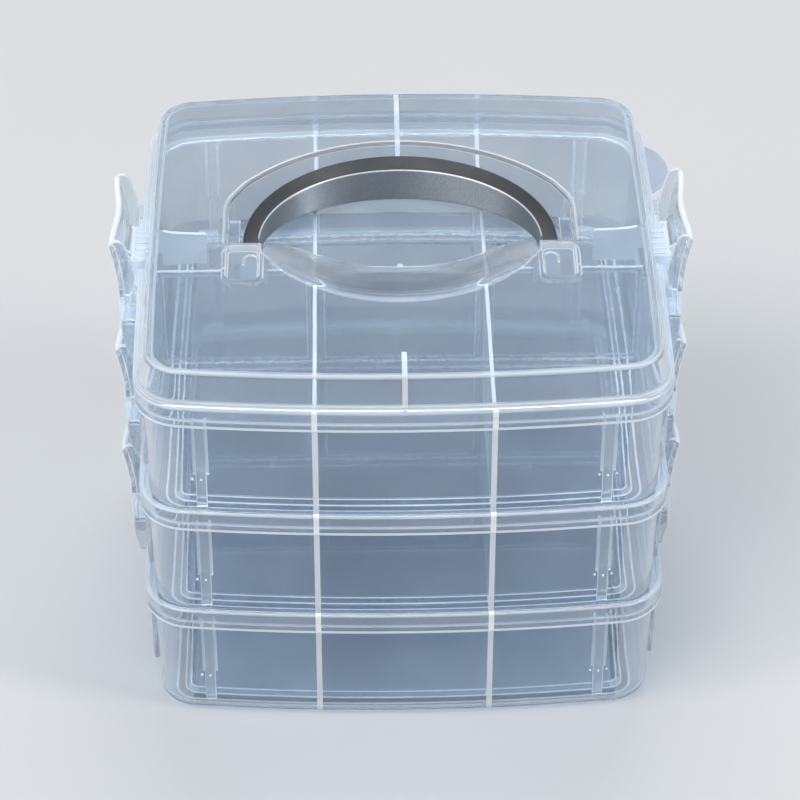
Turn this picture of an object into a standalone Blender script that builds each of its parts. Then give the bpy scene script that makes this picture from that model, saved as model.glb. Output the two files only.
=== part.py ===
"""Three-tier compartment organizer box with a folding handle and side latches.

Units are metres, +Z is up, and the origin is the centre of the bottom tray's foot.
Each tray nests in the collar of the tray below it, the lid rests on the top collar,
and a pair of side latches, hinged on the lower piece, holds every joint of the stack.
"""

import math

import bmesh
import bpy
from mathutils import Vector

# Clearance between pieces that touch, and around a pin that turns in its hole.
GAP = 0.0003
RUNNING_SLACK = 0.0001

# Plan of the collar, the widest line of a tray: bowed sides and round corners.
RIM_HALF_X = 0.0773
RIM_HALF_Y = 0.0766
FRONT_BOW_RADIUS = 0.600
SIDE_BOW_RADIUS = 3.000
PANEL_CORNER_RADIUS = 0.0008

# Tray section.
PITCH = 0.0377
COLLAR_HEIGHT = 0.0053
WALL = 0.0014
FLOOR = 0.0015
FOOT_INSET = 0.0031
WALL_TOP_INSET = 0.0023
FOOT_FILLET = 0.0045
INNER_FILLET = 0.0030
COLLAR_WALL = 0.0017
LEDGE_THICKNESS = 0.0015
PANEL_EDGE_INSET = 0.0075
PANEL_EDGE_RUN = 0.0016
PANEL_RISE = 0.0010

# Fixed partitions, loose dividers and the rails that hold them.
PARTITION_X = 0.0254
PARTITION_THICKNESS = 0.0012
DIVIDER_THICKNESS = 0.0011
RAIL_WIDTH = 0.0010
RAIL_DEPTH = 0.0012
RAIL_DROP = 0.0031
SPARE_RAIL_INSET = 0.0193
SPARE_RAIL_GROOVE = 0.0026
SPARE_RAIL_FOOT = 0.0165
SPARE_RAIL_DROP = 0.0003
SPARE_RAIL_PAD = 0.0032

# Side panel, hinge ears, hinge bar and catch block on each side of a tray.
SIDE_PANEL_MARGIN = 0.0186
SIDE_PANEL_PROUD = 0.0006
SIDE_PANEL_BOTTOM = 0.0108
BAR_OUTSET = 0.0027
BAR_DROP = 0.0068
BAR_RADIUS = 0.0013
EAR_THICKNESS = 0.0016
EAR_REACH = 0.0022
EAR_RISE = 0.0025
EAR_SHOULDER_DROP = 0.0021
EAR_DROP = 0.0091
EAR_FOOT_REACH = 0.0008
CATCH_HALF = 0.0080
CATCH_CLEARANCE = 0.00035
CATCH_HEIGHT = 0.0039
CATCH_SHELF = 0.0022
CATCH_UNDERCUT = 0.0012
RIDGE_COUNT = 6
RIDGE_WIDTH = 0.0012
RIDGE_HEIGHT = 0.0005
RIDGE_SETBACK = 0.0020

# Lid section.
LID_HEIGHT = 0.0098
FLANGE_THICKNESS = 0.0010
DOME_INSET = 0.0037
DOME_DRAFT = 0.0002
DOME_ROUND = 0.0010
LIP_DEPTH = 0.0028
LIP_SLACK = 0.0004
SIDE_TAB_MARGIN = 0.0006
RIB_THICKNESS = 0.0014
FRONT_RIB_LENGTH = 0.0161
WEB_THICKNESS = 0.0012
WEB_DROP = 0.0034

# Handle recess in the lid.
RECESS_HALF = 0.0520
RECESS_ARC_MARGIN = 0.0080
RECESS_BACK = 0.0457
RECESS_SHOULDER_STEP = 0.0015
RECESS_SHOULDER_SETBACK = 0.0297
RECESS_SHOULDER_LENGTH = 0.0055
RECESS_ARC_END_STEP = 0.0050
RECESS_CLEARANCE = 0.0004
RECESS_WALL = 0.0012
CROSS_WALL_Y = 0.0086
POCKET_WIDTH = 0.0108
POCKET_LENGTH = 0.0169
POCKET_DEPTH = 0.0020
SCOOP_RADIUS_MARGIN = 0.0086
SCOOP_LENGTH = 0.0270
SCOOP_TIP_GAP = 0.0028
SCOOP_OVERLAP = 0.0046
SCOOP_FLOOR_STEP = 0.0044
BOSS_WIDTH = 0.0048
BOSS_REACH = 0.0105
BOSS_TOP_DEPTH = 0.0025

# Folding handle.
PIVOT_SETBACK = 0.0049
PIVOT_DEPTH = 0.0060
HANDLE_SIDE_GAP = 0.0006
HANDLE_BACK_GAP = 0.0032
HANDLE_FLOOR_GAP = 0.0004
HANDLE_ARM_WIDTH = 0.0050
HANDLE_BOW_WIDTH = 0.0082
HANDLE_ARM_HEIGHT = 0.0060
HANDLE_EDGE = 0.0006
TRUNNION_RADIUS = 0.0015
TRUNNION_LENGTH = 0.0034

# Side latch.
LATCH_HALF = 0.0180
LATCH_THICKNESS = 0.0019
LATCH_STRAIGHT = 0.0140
LATCH_SPACING = 0.0077
LATCH_FLARE = 0.0030
CHEEK_THICKNESS = 0.0014
CHEEK_DEPTH = 0.00325
CHEEK_TAPER = 0.0005
CHEEK_TOP_DROP = 0.0030
CHEEK_SHOULDER_DROP = 0.0113
CHEEK_FOOT_DROP = 0.0190
KNUCKLE_RADIUS = 0.00275
KNUCKLE_WIDTH = 0.0085
KNUCKLE_MOUTH_HALF = 0.0010
NOSE_END_GAP = 0.0005
NOSE_GRIP = 0.0015
NOSE_HEIGHT = 0.0048
NOSE_TIP = 0.0008

# Shape rules without a length.
FRONT_STEPS = 6
SIDE_STEPS = 2
CORNER_STEPS = 4
FILLET_STEPS = 3
ROUND_STEPS = 20
RECESS_STEPS = 14
SCOOP_STEPS = 12
SCOOP_TUB_SHARE = 0.95
SCOOP_CUT_SHARE = 1.05
HANDLE_STEPS = 28
ARM_END_STEPS = 3
ARM_END_SHARE = 0.9
NOSE_RAMP_DEGREES = 40
LIP_STATION_SHARES = (-1.0, -0.97, -0.88, -0.75, -0.5, 0.0, 0.5, 0.75, 0.88, 0.97, 1.0)
LIP_HEIGHT_SHARES = (0.80, 0.93, 0.99, 1.0, 1.0, 1.0, 1.0, 1.0, 0.99, 0.93, 0.80)
LIP_FLARE_SHARES = (0.75, 0.92, 1.0, 0.96, 0.55, 0.20, 0.55, 0.96, 1.0, 0.92, 0.75)
FULL_TURN = 2 * math.pi
QUARTER_TURN = math.pi / 2

# Tray heights and insets that follow from the sizes above.
PANEL_INSET = FOOT_INSET + PANEL_EDGE_INSET + FLOOR + PANEL_EDGE_RUN
RIM_CORNER_RADIUS = PANEL_INSET + PANEL_CORNER_RADIUS
INNER_INSET = FOOT_INSET + WALL
WALL_MIDDLE_INSET = (FOOT_INSET + WALL_TOP_INSET + WALL) / 2
TRAY_HEIGHT = PITCH + COLLAR_HEIGHT
LEDGE_TOP = PITCH - GAP
PARTITION_TOP = PITCH - 2 * GAP
RAIL_TOP = PARTITION_TOP - RAIL_DROP
SPARE_RAIL_X = RIM_HALF_X - SPARE_RAIL_INSET
SPARE_RAIL_TOP = PARTITION_TOP - SPARE_RAIL_DROP
SIDE_PANEL_HALF = RIM_HALF_Y - SIDE_PANEL_MARGIN

# Places of the hinge, the latch and the catch that it hooks over.
BAR_X = RIM_HALF_X + BAR_OUTSET
BAR_Z = LEDGE_TOP - BAR_DROP
BAR_HOLE_RADIUS = BAR_RADIUS + RUNNING_SLACK
EAR_TOP = BAR_Z + EAR_RISE
EAR_SHOULDER = BAR_Z - EAR_SHOULDER_DROP
EAR_BOTTOM = BAR_Z - EAR_DROP
EAR_INNER_Y = LATCH_HALF + GAP
LATCH_INNER_U = KNUCKLE_RADIUS - LATCH_THICKNESS
LATCH_HEIGHT = PITCH - LATCH_SPACING
CATCH_TOP = TRAY_HEIGHT + GAP + CATCH_HEIGHT
CATCH_REACH = BAR_X + LATCH_INNER_U - CATCH_CLEARANCE
RIDGE_REACH = CATCH_REACH - RIDGE_SETBACK
NOSE_INNER_X = CATCH_REACH - NOSE_GRIP
NOSE_HALF = CATCH_HALF - NOSE_END_GAP

# Places of the lid, its recess and the handle that folds into it.
LID_BASE = 2 * PITCH + TRAY_HEIGHT + GAP
LID_TOP = LID_BASE + LID_HEIGHT
SIDE_TAB_HALF = LATCH_HALF - CHEEK_THICKNESS - SIDE_TAB_MARGIN
SIDE_TAB_REACH = CATCH_REACH - CATCH_SHELF
FRONT_RIB_START = RIM_HALF_Y - FRONT_RIB_LENGTH
RECESS_FLOOR = 2 * PITCH + PARTITION_TOP + RECESS_CLEARANCE + RECESS_WALL
RECESS_ARC_RADIUS = RECESS_HALF + RECESS_ARC_MARGIN
RECESS_ARC_END_X = RECESS_HALF - RECESS_ARC_END_STEP
RECESS_SHOULDER_X = RECESS_HALF - RECESS_SHOULDER_STEP
RECESS_SHOULDER_Y = RECESS_BACK - RECESS_SHOULDER_SETBACK
RECESS_SIDE_END = RECESS_SHOULDER_Y - RECESS_SHOULDER_LENGTH
POCKET_INNER_X = RECESS_HALF - POCKET_WIDTH
POCKET_FRONT = CROSS_WALL_Y + POCKET_LENGTH
SCOOP_TIP_X = POCKET_INNER_X - SCOOP_TIP_GAP
SCOOP_FLOOR_HALF = SCOOP_TIP_X - SCOOP_FLOOR_STEP
SCOOP_RADIUS = SCOOP_TIP_X + SCOOP_RADIUS_MARGIN
SCOOP_FRONT = CROSS_WALL_Y + SCOOP_LENGTH
SCOOP_BACK = CROSS_WALL_Y - SCOOP_OVERLAP
PIVOT_Y = PIVOT_SETBACK + RECESS_WALL - CROSS_WALL_Y
PIVOT_Z = LID_TOP - PIVOT_DEPTH
BOSS_INNER_X = RECESS_HALF - BOSS_WIDTH
BOSS_BACK = PIVOT_Y + BOSS_REACH
HANDLE_HALF_X = BOSS_INNER_X - HANDLE_SIDE_GAP
HANDLE_INNER_HALF_X = HANDLE_HALF_X - HANDLE_ARM_WIDTH
HANDLE_REACH = RECESS_BACK - PIVOT_Y - HANDLE_BACK_GAP
HANDLE_INNER_REACH = HANDLE_REACH - HANDLE_BOW_WIDTH
HANDLE_HEIGHT = PIVOT_Z + HANDLE_ARM_HEIGHT / 2 - RECESS_FLOOR - HANDLE_FLOOR_GAP


def remove_scene_objects():
    for item in list(bpy.data.objects):
        bpy.data.objects.remove(item, do_unlink=True)


def plastic(name, colour, roughness, metallic=0.0, alpha=1.0):
    material = bpy.data.materials.new(name)
    material.use_nodes = True
    shader = material.node_tree.nodes["Principled BSDF"]
    shader.inputs["Base Color"].default_value = (*colour, 1.0)
    shader.inputs["Roughness"].default_value = roughness
    shader.inputs["Metallic"].default_value = metallic
    shader.inputs["Alpha"].default_value = alpha
    return material


def corner_centre():
    """Centre of the corner circle that touches both bowed sides from inside."""
    front = Vector((0, RIM_HALF_Y - FRONT_BOW_RADIUS))
    side = Vector((RIM_HALF_X - SIDE_BOW_RADIUS, 0))
    reach_front = FRONT_BOW_RADIUS - RIM_CORNER_RADIUS
    reach_side = SIDE_BOW_RADIUS - RIM_CORNER_RADIUS
    between = side - front
    distance = between.length
    along = (reach_front ** 2 - reach_side ** 2 + distance ** 2) / (2 * distance)
    across = math.sqrt(reach_front ** 2 - along ** 2)
    direction = between / distance
    normal = Vector((-direction.y, direction.x))
    options = [front + direction * along + normal * across * turn for turn in (1, -1)]
    return max(options, key=lambda point: point.x + point.y)


def outline(inset):
    """Plan outline of the box, counter-clockwise, moved inwards by an inset."""
    centre = corner_centre()
    front = Vector((0, RIM_HALF_Y - FRONT_BOW_RADIUS))
    side = Vector((RIM_HALF_X - SIDE_BOW_RADIUS, 0))
    front_angle = math.atan2(centre.x, centre.y - front.y)
    side_angle = math.atan2(centre.y, centre.x - side.x)
    radius = RIM_CORNER_RADIUS - inset
    quarter = []
    for step in range(SIDE_STEPS // 2 + 1):
        angle = side_angle * step / (SIDE_STEPS // 2)
        reach = SIDE_BOW_RADIUS - inset
        quarter.append((side.x + reach * math.cos(angle), reach * math.sin(angle)))
    corner_start = side_angle
    corner_end = QUARTER_TURN - front_angle
    for step in range(1, CORNER_STEPS):
        angle = corner_start + (corner_end - corner_start) * step / CORNER_STEPS
        quarter.append((centre.x + radius * math.cos(angle), centre.y + radius * math.sin(angle)))
    for step in range(FRONT_STEPS // 2, -1, -1):
        angle = front_angle * step / (FRONT_STEPS // 2)
        reach = FRONT_BOW_RADIUS - inset
        quarter.append((reach * math.sin(angle), front.y + reach * math.cos(angle)))
    left_back = [(-x, y) for x, y in reversed(quarter[:-1])]
    half = quarter + left_back
    front_half = [(-x, -y) for x, y in half[1:-1]]
    return half + front_half


def edge_y(inset, x):
    """Half depth of the outline at a place along the front."""
    reach = FRONT_BOW_RADIUS - inset
    return RIM_HALF_Y - FRONT_BOW_RADIUS + math.sqrt(reach ** 2 - x ** 2)


def edge_x(inset, y):
    """Half width of the outline at a place along the side."""
    reach = SIDE_BOW_RADIUS - inset
    return RIM_HALF_X - SIDE_BOW_RADIUS + math.sqrt(reach ** 2 - y ** 2)


def new_object(name, mesh, material=None):
    item = bpy.data.objects.new(name, mesh)
    bpy.context.collection.objects.link(item)
    if material is not None and not mesh.materials:
        mesh.materials.append(material)
    return item


def mesh_from(bm, name):
    bmesh.ops.recalc_face_normals(bm, faces=bm.faces)
    mesh = bpy.data.meshes.new(name)
    bm.to_mesh(mesh)
    bm.free()
    return mesh


def loft(name, rings):
    """Closed solid through rings that all have the same number of points."""
    bm = bmesh.new()
    made = [[bm.verts.new(point) for point in ring] for ring in rings]
    for lower, upper in zip(made, made[1:]):
        count = len(lower)
        for index in range(count):
            after = (index + 1) % count
            bm.faces.new((lower[index], lower[after], upper[after], upper[index]))
    bm.faces.new(list(reversed(made[0])))
    bm.faces.new(made[-1])
    return new_object(name, mesh_from(bm, name))


def triangulate(item):
    """Make every face a flat triangle, so that a Boolean can cut bent ones."""
    bm = bmesh.new()
    bm.from_mesh(item.data)
    bmesh.ops.triangulate(bm, faces=bm.faces)
    bmesh.ops.recalc_face_normals(bm, faces=bm.faces)
    bm.to_mesh(item.data)
    bm.free()


def shell(name, section):
    """Solid through copies of the box outline, one for each (inset, height) pair."""
    rings = []
    for inset, height in section:
        rings.append([(x, y, height) for x, y in outline(inset)])
    return loft(name, rings)


def prism(name, points, start, end, axis="Z"):
    """Solid with a flat outline, extruded along one axis from start to end."""
    def place(first, second, depth):
        if axis == "X":
            return (depth, first, second)
        if axis == "Y":
            return (first, depth, second)
        return (first, second, depth)
    rings = [[place(a, b, depth) for a, b in points] for depth in (start, end)]
    return loft(name, rings)


def box(name, x0, x1, y0, y1, z0, z1):
    return prism(name, [(x0, y0), (x1, y0), (x1, y1), (x0, y1)], z0, z1)


def rod(name, radius, start, end, centre, axis="Y", steps=ROUND_STEPS):
    """Round bar along X or Y whose centre line passes through a point."""
    points = []
    for step in range(steps):
        angle = FULL_TURN * step / steps
        points.append((centre[0] + radius * math.cos(angle), centre[1] + radius * math.sin(angle)))
    return prism(name, points, start, end, axis)


def combine(body, tools, operation):
    """Join tools to a body, or cut them from it, and keep one clean mesh."""
    for tool in tools:
        change = body.modifiers.new("combine", "BOOLEAN")
        change.operation = operation
        change.solver = "EXACT"
        change.object = tool
        bpy.context.view_layer.update()
        graph = bpy.context.evaluated_depsgraph_get()
        result = bpy.data.meshes.new_from_object(body.evaluated_get(graph))
        body.modifiers.clear()
        body.data = result
        bpy.data.objects.remove(tool, do_unlink=True)


def finish_mesh(item, name, material, sharp_degrees=35):
    item.name = name
    item.data.name = name
    item.data.materials.clear()
    item.data.materials.append(material)
    item.data.shade_smooth()
    item.data.set_sharp_from_angle(angle=math.radians(sharp_degrees))


def fillet(centre_inset, centre_height, radius, start, end):
    """Points of a quarter round in (inset, height), from one angle to another."""
    points = []
    for step in range(FILLET_STEPS + 1):
        angle = start + (end - start) * step / FILLET_STEPS
        inset = centre_inset - radius * math.cos(angle)
        points.append((inset, centre_height + radius * math.sin(angle)))
    return points


def tray_section():
    """Section of a tray from the middle of its foot, out and up, then down inside."""
    foot_edge = FOOT_INSET + FOOT_FILLET
    floor_edge = INNER_INSET + INNER_FILLET
    panel_edge = FOOT_INSET + PANEL_EDGE_INSET
    section = [(PANEL_INSET, PANEL_RISE), (panel_edge + FLOOR, 0)]
    section += fillet(foot_edge, FOOT_FILLET, FOOT_FILLET, -QUARTER_TURN, 0)
    section += [(WALL_TOP_INSET, LEDGE_TOP - LEDGE_THICKNESS), (0, LEDGE_TOP - LEDGE_THICKNESS)]
    section += [(0, TRAY_HEIGHT), (COLLAR_WALL, TRAY_HEIGHT), (COLLAR_WALL, LEDGE_TOP)]
    section += [(WALL_TOP_INSET + WALL, LEDGE_TOP)]
    section += fillet(floor_edge, FLOOR + INNER_FILLET, INNER_FILLET, 0, -QUARTER_TURN)
    section += [(panel_edge, FLOOR), (panel_edge + PANEL_EDGE_RUN, FLOOR + PANEL_RISE)]
    return section


def partition(name, x):
    """Upright wall from front to back whose ends run into the tray's walls."""
    far = edge_y(WALL_MIDDLE_INSET, x)
    near_floor = far - (INNER_FILLET + WALL / 2)
    low = (FLOOR + PANEL_RISE) / 2
    half = [(near_floor, low), (far, FOOT_FILLET), (far, PARTITION_TOP)]
    points = half + [(-y, z) for y, z in reversed(half)]
    start = x - PARTITION_THICKNESS / 2
    return prism(name, points, start, start + PARTITION_THICKNESS, "X")


def divider_rails(inner_x, outer_x):
    """Two upright rails on one wall, with a groove for a divider at y = 0."""
    groove = DIVIDER_THICKNESS / 2 + GAP
    rails = []
    for turn in (1, -1):
        low, high = sorted((turn * groove, turn * (groove + RAIL_WIDTH)))
        rails.append(box("rail", inner_x, outer_x, low, high, FOOT_FILLET, RAIL_TOP))
    return rails


def spare_rails(x, outer, inner):
    """Two rails and their foot pad at one place on the front or back wall."""
    y0, y1 = sorted((outer, inner))
    groove = SPARE_RAIL_GROOVE / 2
    parts = []
    for hand in (1, -1):
        x0, x1 = sorted((x + hand * groove, x + hand * (groove + RAIL_WIDTH)))
        parts.append(box("spare_rail", x0, x1, y0, y1, SPARE_RAIL_FOOT, SPARE_RAIL_TOP))
    reach = SPARE_RAIL_PAD / 2
    top = SPARE_RAIL_FOOT + WALL
    parts.append(box("spare_pad", x - reach, x + reach, y0, y1, FOOT_FILLET, top))
    return parts


def tray_rails():
    """Rails for the loose dividers and spare rails on the front and back walls."""
    rails = []
    reach = PARTITION_THICKNESS / 2 + RAIL_DEPTH
    for side in (1, -1):
        wall_out = side * edge_x(WALL_MIDDLE_INSET, 0)
        wall_in = side * edge_x(INNER_INSET + RAIL_DEPTH, 0)
        rails += divider_rails(*sorted((wall_out, wall_in)))
        face = side * PARTITION_X
        for turn in (1, -1):
            rails += divider_rails(*sorted((face, face + turn * reach)))
            x = side * SPARE_RAIL_X
            outer = turn * edge_y(WALL_MIDDLE_INSET, x)
            inner = turn * edge_y(INNER_INSET + RAIL_DEPTH, x)
            rails += spare_rails(x, outer, inner)
    return rails


def hinge_parts(side):
    """Two ears, the bar between them and the raised panel they stand on."""
    wall = edge_x(WALL_MIDDLE_INSET, 0)
    outer = BAR_X + EAR_REACH
    points = [(wall, EAR_BOTTOM), (BAR_X + EAR_FOOT_REACH, EAR_BOTTOM), (outer, EAR_SHOULDER)]
    points += [(outer, EAR_TOP), (wall, EAR_TOP)]
    points = [(side * x, z) for x, z in points]
    parts = []
    for turn in (1, -1):
        y0, y1 = sorted((turn * EAR_INNER_Y, turn * (EAR_INNER_Y + EAR_THICKNESS)))
        parts.append(prism("ear", points, y0, y1, "Y"))
    reach = EAR_INNER_Y + EAR_THICKNESS / 2
    parts.append(rod("bar", BAR_RADIUS, -reach, reach, (side * BAR_X, BAR_Z)))
    inner = edge_x(WALL_MIDDLE_INSET, SIDE_PANEL_HALF)
    proud = edge_x(WALL_TOP_INSET, 0) + SIDE_PANEL_PROUD
    x0, x1 = sorted((side * inner, side * proud))
    top = LEDGE_TOP - LEDGE_THICKNESS / 2
    parts.append(box("panel", x0, x1, -SIDE_PANEL_HALF, SIDE_PANEL_HALF, SIDE_PANEL_BOTTOM, top))
    return parts


def catch_parts(side, root_x, bottom):
    """Ridged block, open under its outer shelf, that a latch hooks over."""
    top = bottom + CATCH_HEIGHT
    step = CATCH_REACH - CATCH_SHELF
    under = bottom + CATCH_UNDERCUT
    points = [(root_x, bottom), (step, bottom), (step, under), (CATCH_REACH, under)]
    points += [(CATCH_REACH, top), (root_x, top)]
    points = [(side * x, z) for x, z in points]
    parts = [prism("catch", points, -CATCH_HALF, CATCH_HALF, "Y")]
    x0, x1 = sorted((side * root_x, side * RIDGE_REACH))
    spacing = 2 * (CATCH_HALF - RIDGE_WIDTH) / (RIDGE_COUNT - 1)
    root = bottom + CATCH_HEIGHT / 2
    for index in range(RIDGE_COUNT):
        y0 = -CATCH_HALF + RIDGE_WIDTH / 2 + spacing * index
        parts.append(box("ridge", x0, x1, y0, y0 + RIDGE_WIDTH, root, top + RIDGE_HEIGHT))
    return parts


def build_tray(name, material, with_catches):
    """Tray moulding; only a tray that stands on another one has catch blocks."""
    tray = shell(name, tray_section())
    root_x = edge_x(WALL_MIDDLE_INSET, 0)
    for side in (1, -1):
        combine(tray, hinge_parts(side), "UNION")
        combine(tray, [partition("partition", side * PARTITION_X)], "UNION")
        if with_catches:
            combine(tray, catch_parts(side, root_x, TRAY_HEIGHT + GAP - PITCH), "UNION")
    combine(tray, tray_rails(), "UNION")
    finish_mesh(tray, name, material)
    return tray


def divider_points(left, right, left_wall, right_wall):
    """Outline of a divider in (x, z); an end at a tray wall has its corner cut."""
    low = FLOOR + PANEL_RISE + GAP
    high = FLOOR + INNER_FILLET
    cut = INNER_FILLET / 2
    points = []
    points += [(left, high), (left + cut, low)] if left_wall else [(left, low)]
    points += [(right - cut, low), (right, high)] if right_wall else [(right, low)]
    points += [(right, PARTITION_TOP), (left, PARTITION_TOP)]
    return points


def build_dividers(material):
    half = DIVIDER_THICKNESS / 2
    face = PARTITION_X + PARTITION_THICKNESS / 2
    wall = edge_x(INNER_INSET, 0) - GAP
    side_points = divider_points(face + GAP, wall, False, True)
    end = PARTITION_X - PARTITION_THICKNESS / 2 - GAP
    centre_points = divider_points(-end, end, False, False)
    side = prism("divider_side", side_points, -half, half, "Y")
    centre = prism("divider_centre", centre_points, -half, half, "Y")
    for item in (side, centre):
        finish_mesh(item, item.name, material)
    return side, centre


def recess_outline(grow):
    """Back part of the recess in plan: straight sides and a wide arc at the back."""
    centre_y = RECESS_BACK - RECESS_ARC_RADIUS
    radius = RECESS_ARC_RADIUS + grow
    right = [(RECESS_HALF + grow, -CROSS_WALL_Y - grow), (RECESS_HALF + grow, RECESS_SIDE_END)]
    right.append((RECESS_SHOULDER_X + grow, RECESS_SHOULDER_Y + grow / 2))
    end = math.asin(RECESS_ARC_END_X / RECESS_ARC_RADIUS)
    arc = []
    for step in range(RECESS_STEPS + 1):
        angle = end - 2 * end * step / RECESS_STEPS
        arc.append((radius * math.sin(angle), centre_y + radius * math.cos(angle)))
    left = [(-x, y) for x, y in reversed(right)]
    return right + arc + left


def finger_scoop(name, grow, top_share, floor):
    """Ramp from an arc at the plate down to a line at the recess floor."""
    centre_y = SCOOP_RADIUS - SCOOP_FRONT
    radius = SCOOP_RADIUS + grow
    tip = math.asin(SCOOP_TIP_X / SCOOP_RADIUS)
    top = []
    bottom = []
    for step in range(SCOOP_STEPS + 1):
        angle = -tip + 2 * tip * step / SCOOP_STEPS
        across = math.sin(angle) / math.sin(tip)
        low = Vector((across * (SCOOP_FLOOR_HALF + grow), -CROSS_WALL_Y - grow / 2, floor))
        high = Vector((radius * math.sin(angle), centre_y - radius * math.cos(angle), LID_TOP))
        bottom.append(low)
        top.append(low.lerp(high, top_share))
    for turn in (1, -1):
        bottom.append(Vector((turn * (SCOOP_FLOOR_HALF + grow), -SCOOP_BACK, floor)))
        top.append(Vector((top[-1].x if turn > 0 else top[0].x, -SCOOP_BACK, top[0].z)))
    return loft(name, [bottom, top])


def lid_section():
    """Section of the lid shell from the plate's middle, out and down, then up inside."""
    dome = DOME_INSET + DOME_DRAFT
    inner = dome + WALL
    lip = COLLAR_WALL + LIP_SLACK
    section = fillet(dome + DOME_ROUND, LID_TOP - DOME_ROUND, DOME_ROUND, QUARTER_TURN, 0)
    section += [(DOME_INSET, LID_BASE + FLANGE_THICKNESS), (0, LID_BASE + FLANGE_THICKNESS)]
    section += [(0, LID_BASE), (lip, LID_BASE), (lip, LID_BASE - LIP_DEPTH)]
    section += [(lip + WALL, LID_BASE - LIP_DEPTH), (lip + WALL, LID_BASE)]
    section += [(inner, LID_BASE), (inner, LID_TOP - WALL)]
    return list(reversed(section))


def lid_ribs():
    """Thin ribs under the plate: front, back and both sides."""
    under = LID_TOP - WALL / 2
    half = RIB_THICKNESS / 2
    front = edge_y(DOME_INSET + WALL / 2, 0)
    points = [(-front, LID_BASE + FLANGE_THICKNESS), (-FRONT_RIB_START, LID_TOP - WALL)]
    points += [(-FRONT_RIB_START, under), (-front, under)]
    parts = [prism("front_rib", points, -half, half, "X")]
    low = RECESS_FLOOR - RECESS_WALL / 2
    back_inner = edge_y(DOME_INSET + DOME_DRAFT + WALL, 0) - WALL
    points = [(RECESS_BACK + RECESS_WALL / 2, low), (back_inner, LID_BASE + FLANGE_THICKNESS)]
    points += [(front, LID_BASE + FLANGE_THICKNESS), (front, under), (RECESS_BACK + RECESS_WALL / 2, under)]
    parts.append(prism("back_rib", points, -half, half, "X"))
    wall = edge_x(DOME_INSET + WALL / 2, 0)
    inner = edge_x(DOME_INSET + DOME_DRAFT + WALL, 0) - WALL
    low = LID_BASE - WEB_DROP
    start = RECESS_HALF + RECESS_WALL / 2
    for side in (1, -1):
        points = [(start, low), (inner, low), (inner, LID_BASE + FLANGE_THICKNESS / 2)]
        points += [(wall, LID_BASE + FLANGE_THICKNESS / 2), (wall, under), (start, under)]
        points = [(side * x, z) for x, z in points]
        parts.append(prism("side_web", points, -WEB_THICKNESS / 2, WEB_THICKNESS / 2, "Y"))
    return parts


def recess_tub():
    """Outside of the recess: its walls and floors before the hollow is cut."""
    top = LID_TOP - WALL / 2
    parts = [prism("tub", recess_outline(RECESS_WALL), RECESS_FLOOR - RECESS_WALL, top)]
    parts.append(finger_scoop("tub_scoop", RECESS_WALL, SCOOP_TUB_SHARE, RECESS_FLOOR - RECESS_WALL))
    for side in (1, -1):
        x0, x1 = sorted((side * (POCKET_INNER_X - RECESS_WALL), side * (RECESS_HALF + RECESS_WALL)))
        low = LID_TOP - POCKET_DEPTH - RECESS_WALL
        parts.append(box("tub_pocket", x0, x1, -POCKET_FRONT - RECESS_WALL, -CROSS_WALL_Y, low, top))
    return parts


def recess_hollow():
    """Hollow of the recess: handle bay, finger scoop and the two end pockets."""
    top = LID_TOP + WALL
    bay = recess_outline(0)
    bay[0] = (bay[0][0], -CROSS_WALL_Y + RECESS_WALL)
    bay[-1] = (bay[-1][0], -CROSS_WALL_Y + RECESS_WALL)
    parts = [prism("bay", bay, RECESS_FLOOR, top)]
    parts.append(finger_scoop("scoop", 0, SCOOP_CUT_SHARE, RECESS_FLOOR))
    for side in (1, -1):
        x0, x1 = sorted((side * POCKET_INNER_X, side * RECESS_HALF))
        parts.append(box("pocket", x0, x1, -POCKET_FRONT, -CROSS_WALL_Y, LID_TOP - POCKET_DEPTH, top))
    return parts


def pivot_bosses():
    """Blocks on the sides of the handle bay that carry the handle's trunnions."""
    parts = []
    for side in (1, -1):
        x0, x1 = sorted((side * BOSS_INNER_X, side * (RECESS_HALF + RECESS_WALL / 2)))
        front = -CROSS_WALL_Y + RECESS_WALL / 2
        low = RECESS_FLOOR - RECESS_WALL / 2
        parts.append(box("boss", x0, x1, front, BOSS_BACK, low, LID_TOP - BOSS_TOP_DEPTH))
    return parts


def build_lid(material):
    lid = shell("lid", lid_section())
    combine(lid, recess_tub() + lid_ribs(), "UNION")
    combine(lid, recess_hollow(), "DIFFERENCE")
    combine(lid, pivot_bosses(), "UNION")
    holes = []
    for side in (1, -1):
        x0, x1 = sorted((side * (BOSS_INNER_X - WALL), side * (HANDLE_HALF_X + TRUNNION_LENGTH + GAP)))
        radius = TRUNNION_RADIUS + RUNNING_SLACK
        holes.append(rod("trunnion_hole", radius, x0, x1, (PIVOT_Y, PIVOT_Z), "X"))
    combine(lid, holes, "DIFFERENCE")
    for side in (1, -1):
        x0, x1 = sorted((side * edge_x(FLANGE_THICKNESS, 0), side * SIDE_TAB_REACH))
        tab = box("tab", x0, x1, -SIDE_TAB_HALF, SIDE_TAB_HALF, LID_BASE, LID_BASE + FLANGE_THICKNESS)
        root_x = edge_x(DOME_INSET + WALL / 2, 0)
        combine(lid, [tab] + catch_parts(side, root_x, LID_BASE), "UNION")
    finish_mesh(lid, "lid", material)
    return lid


def strap_section(outer, inner, top, bottom):
    """Eight-cornered strap section between an outer and an inner point in plan."""
    inward = (inner - outer).normalized() * HANDLE_EDGE
    edge = min(HANDLE_EDGE, (top - bottom) / 4)
    corners = [(outer, bottom + edge), (outer, top - edge), (outer + inward, top)]
    corners += [(inner - inward, top), (inner, top - edge), (inner, bottom + edge)]
    corners += [(inner - inward, bottom), (outer + inward, bottom)]
    return [(point.x, point.y, height) for point, height in corners]


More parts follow.
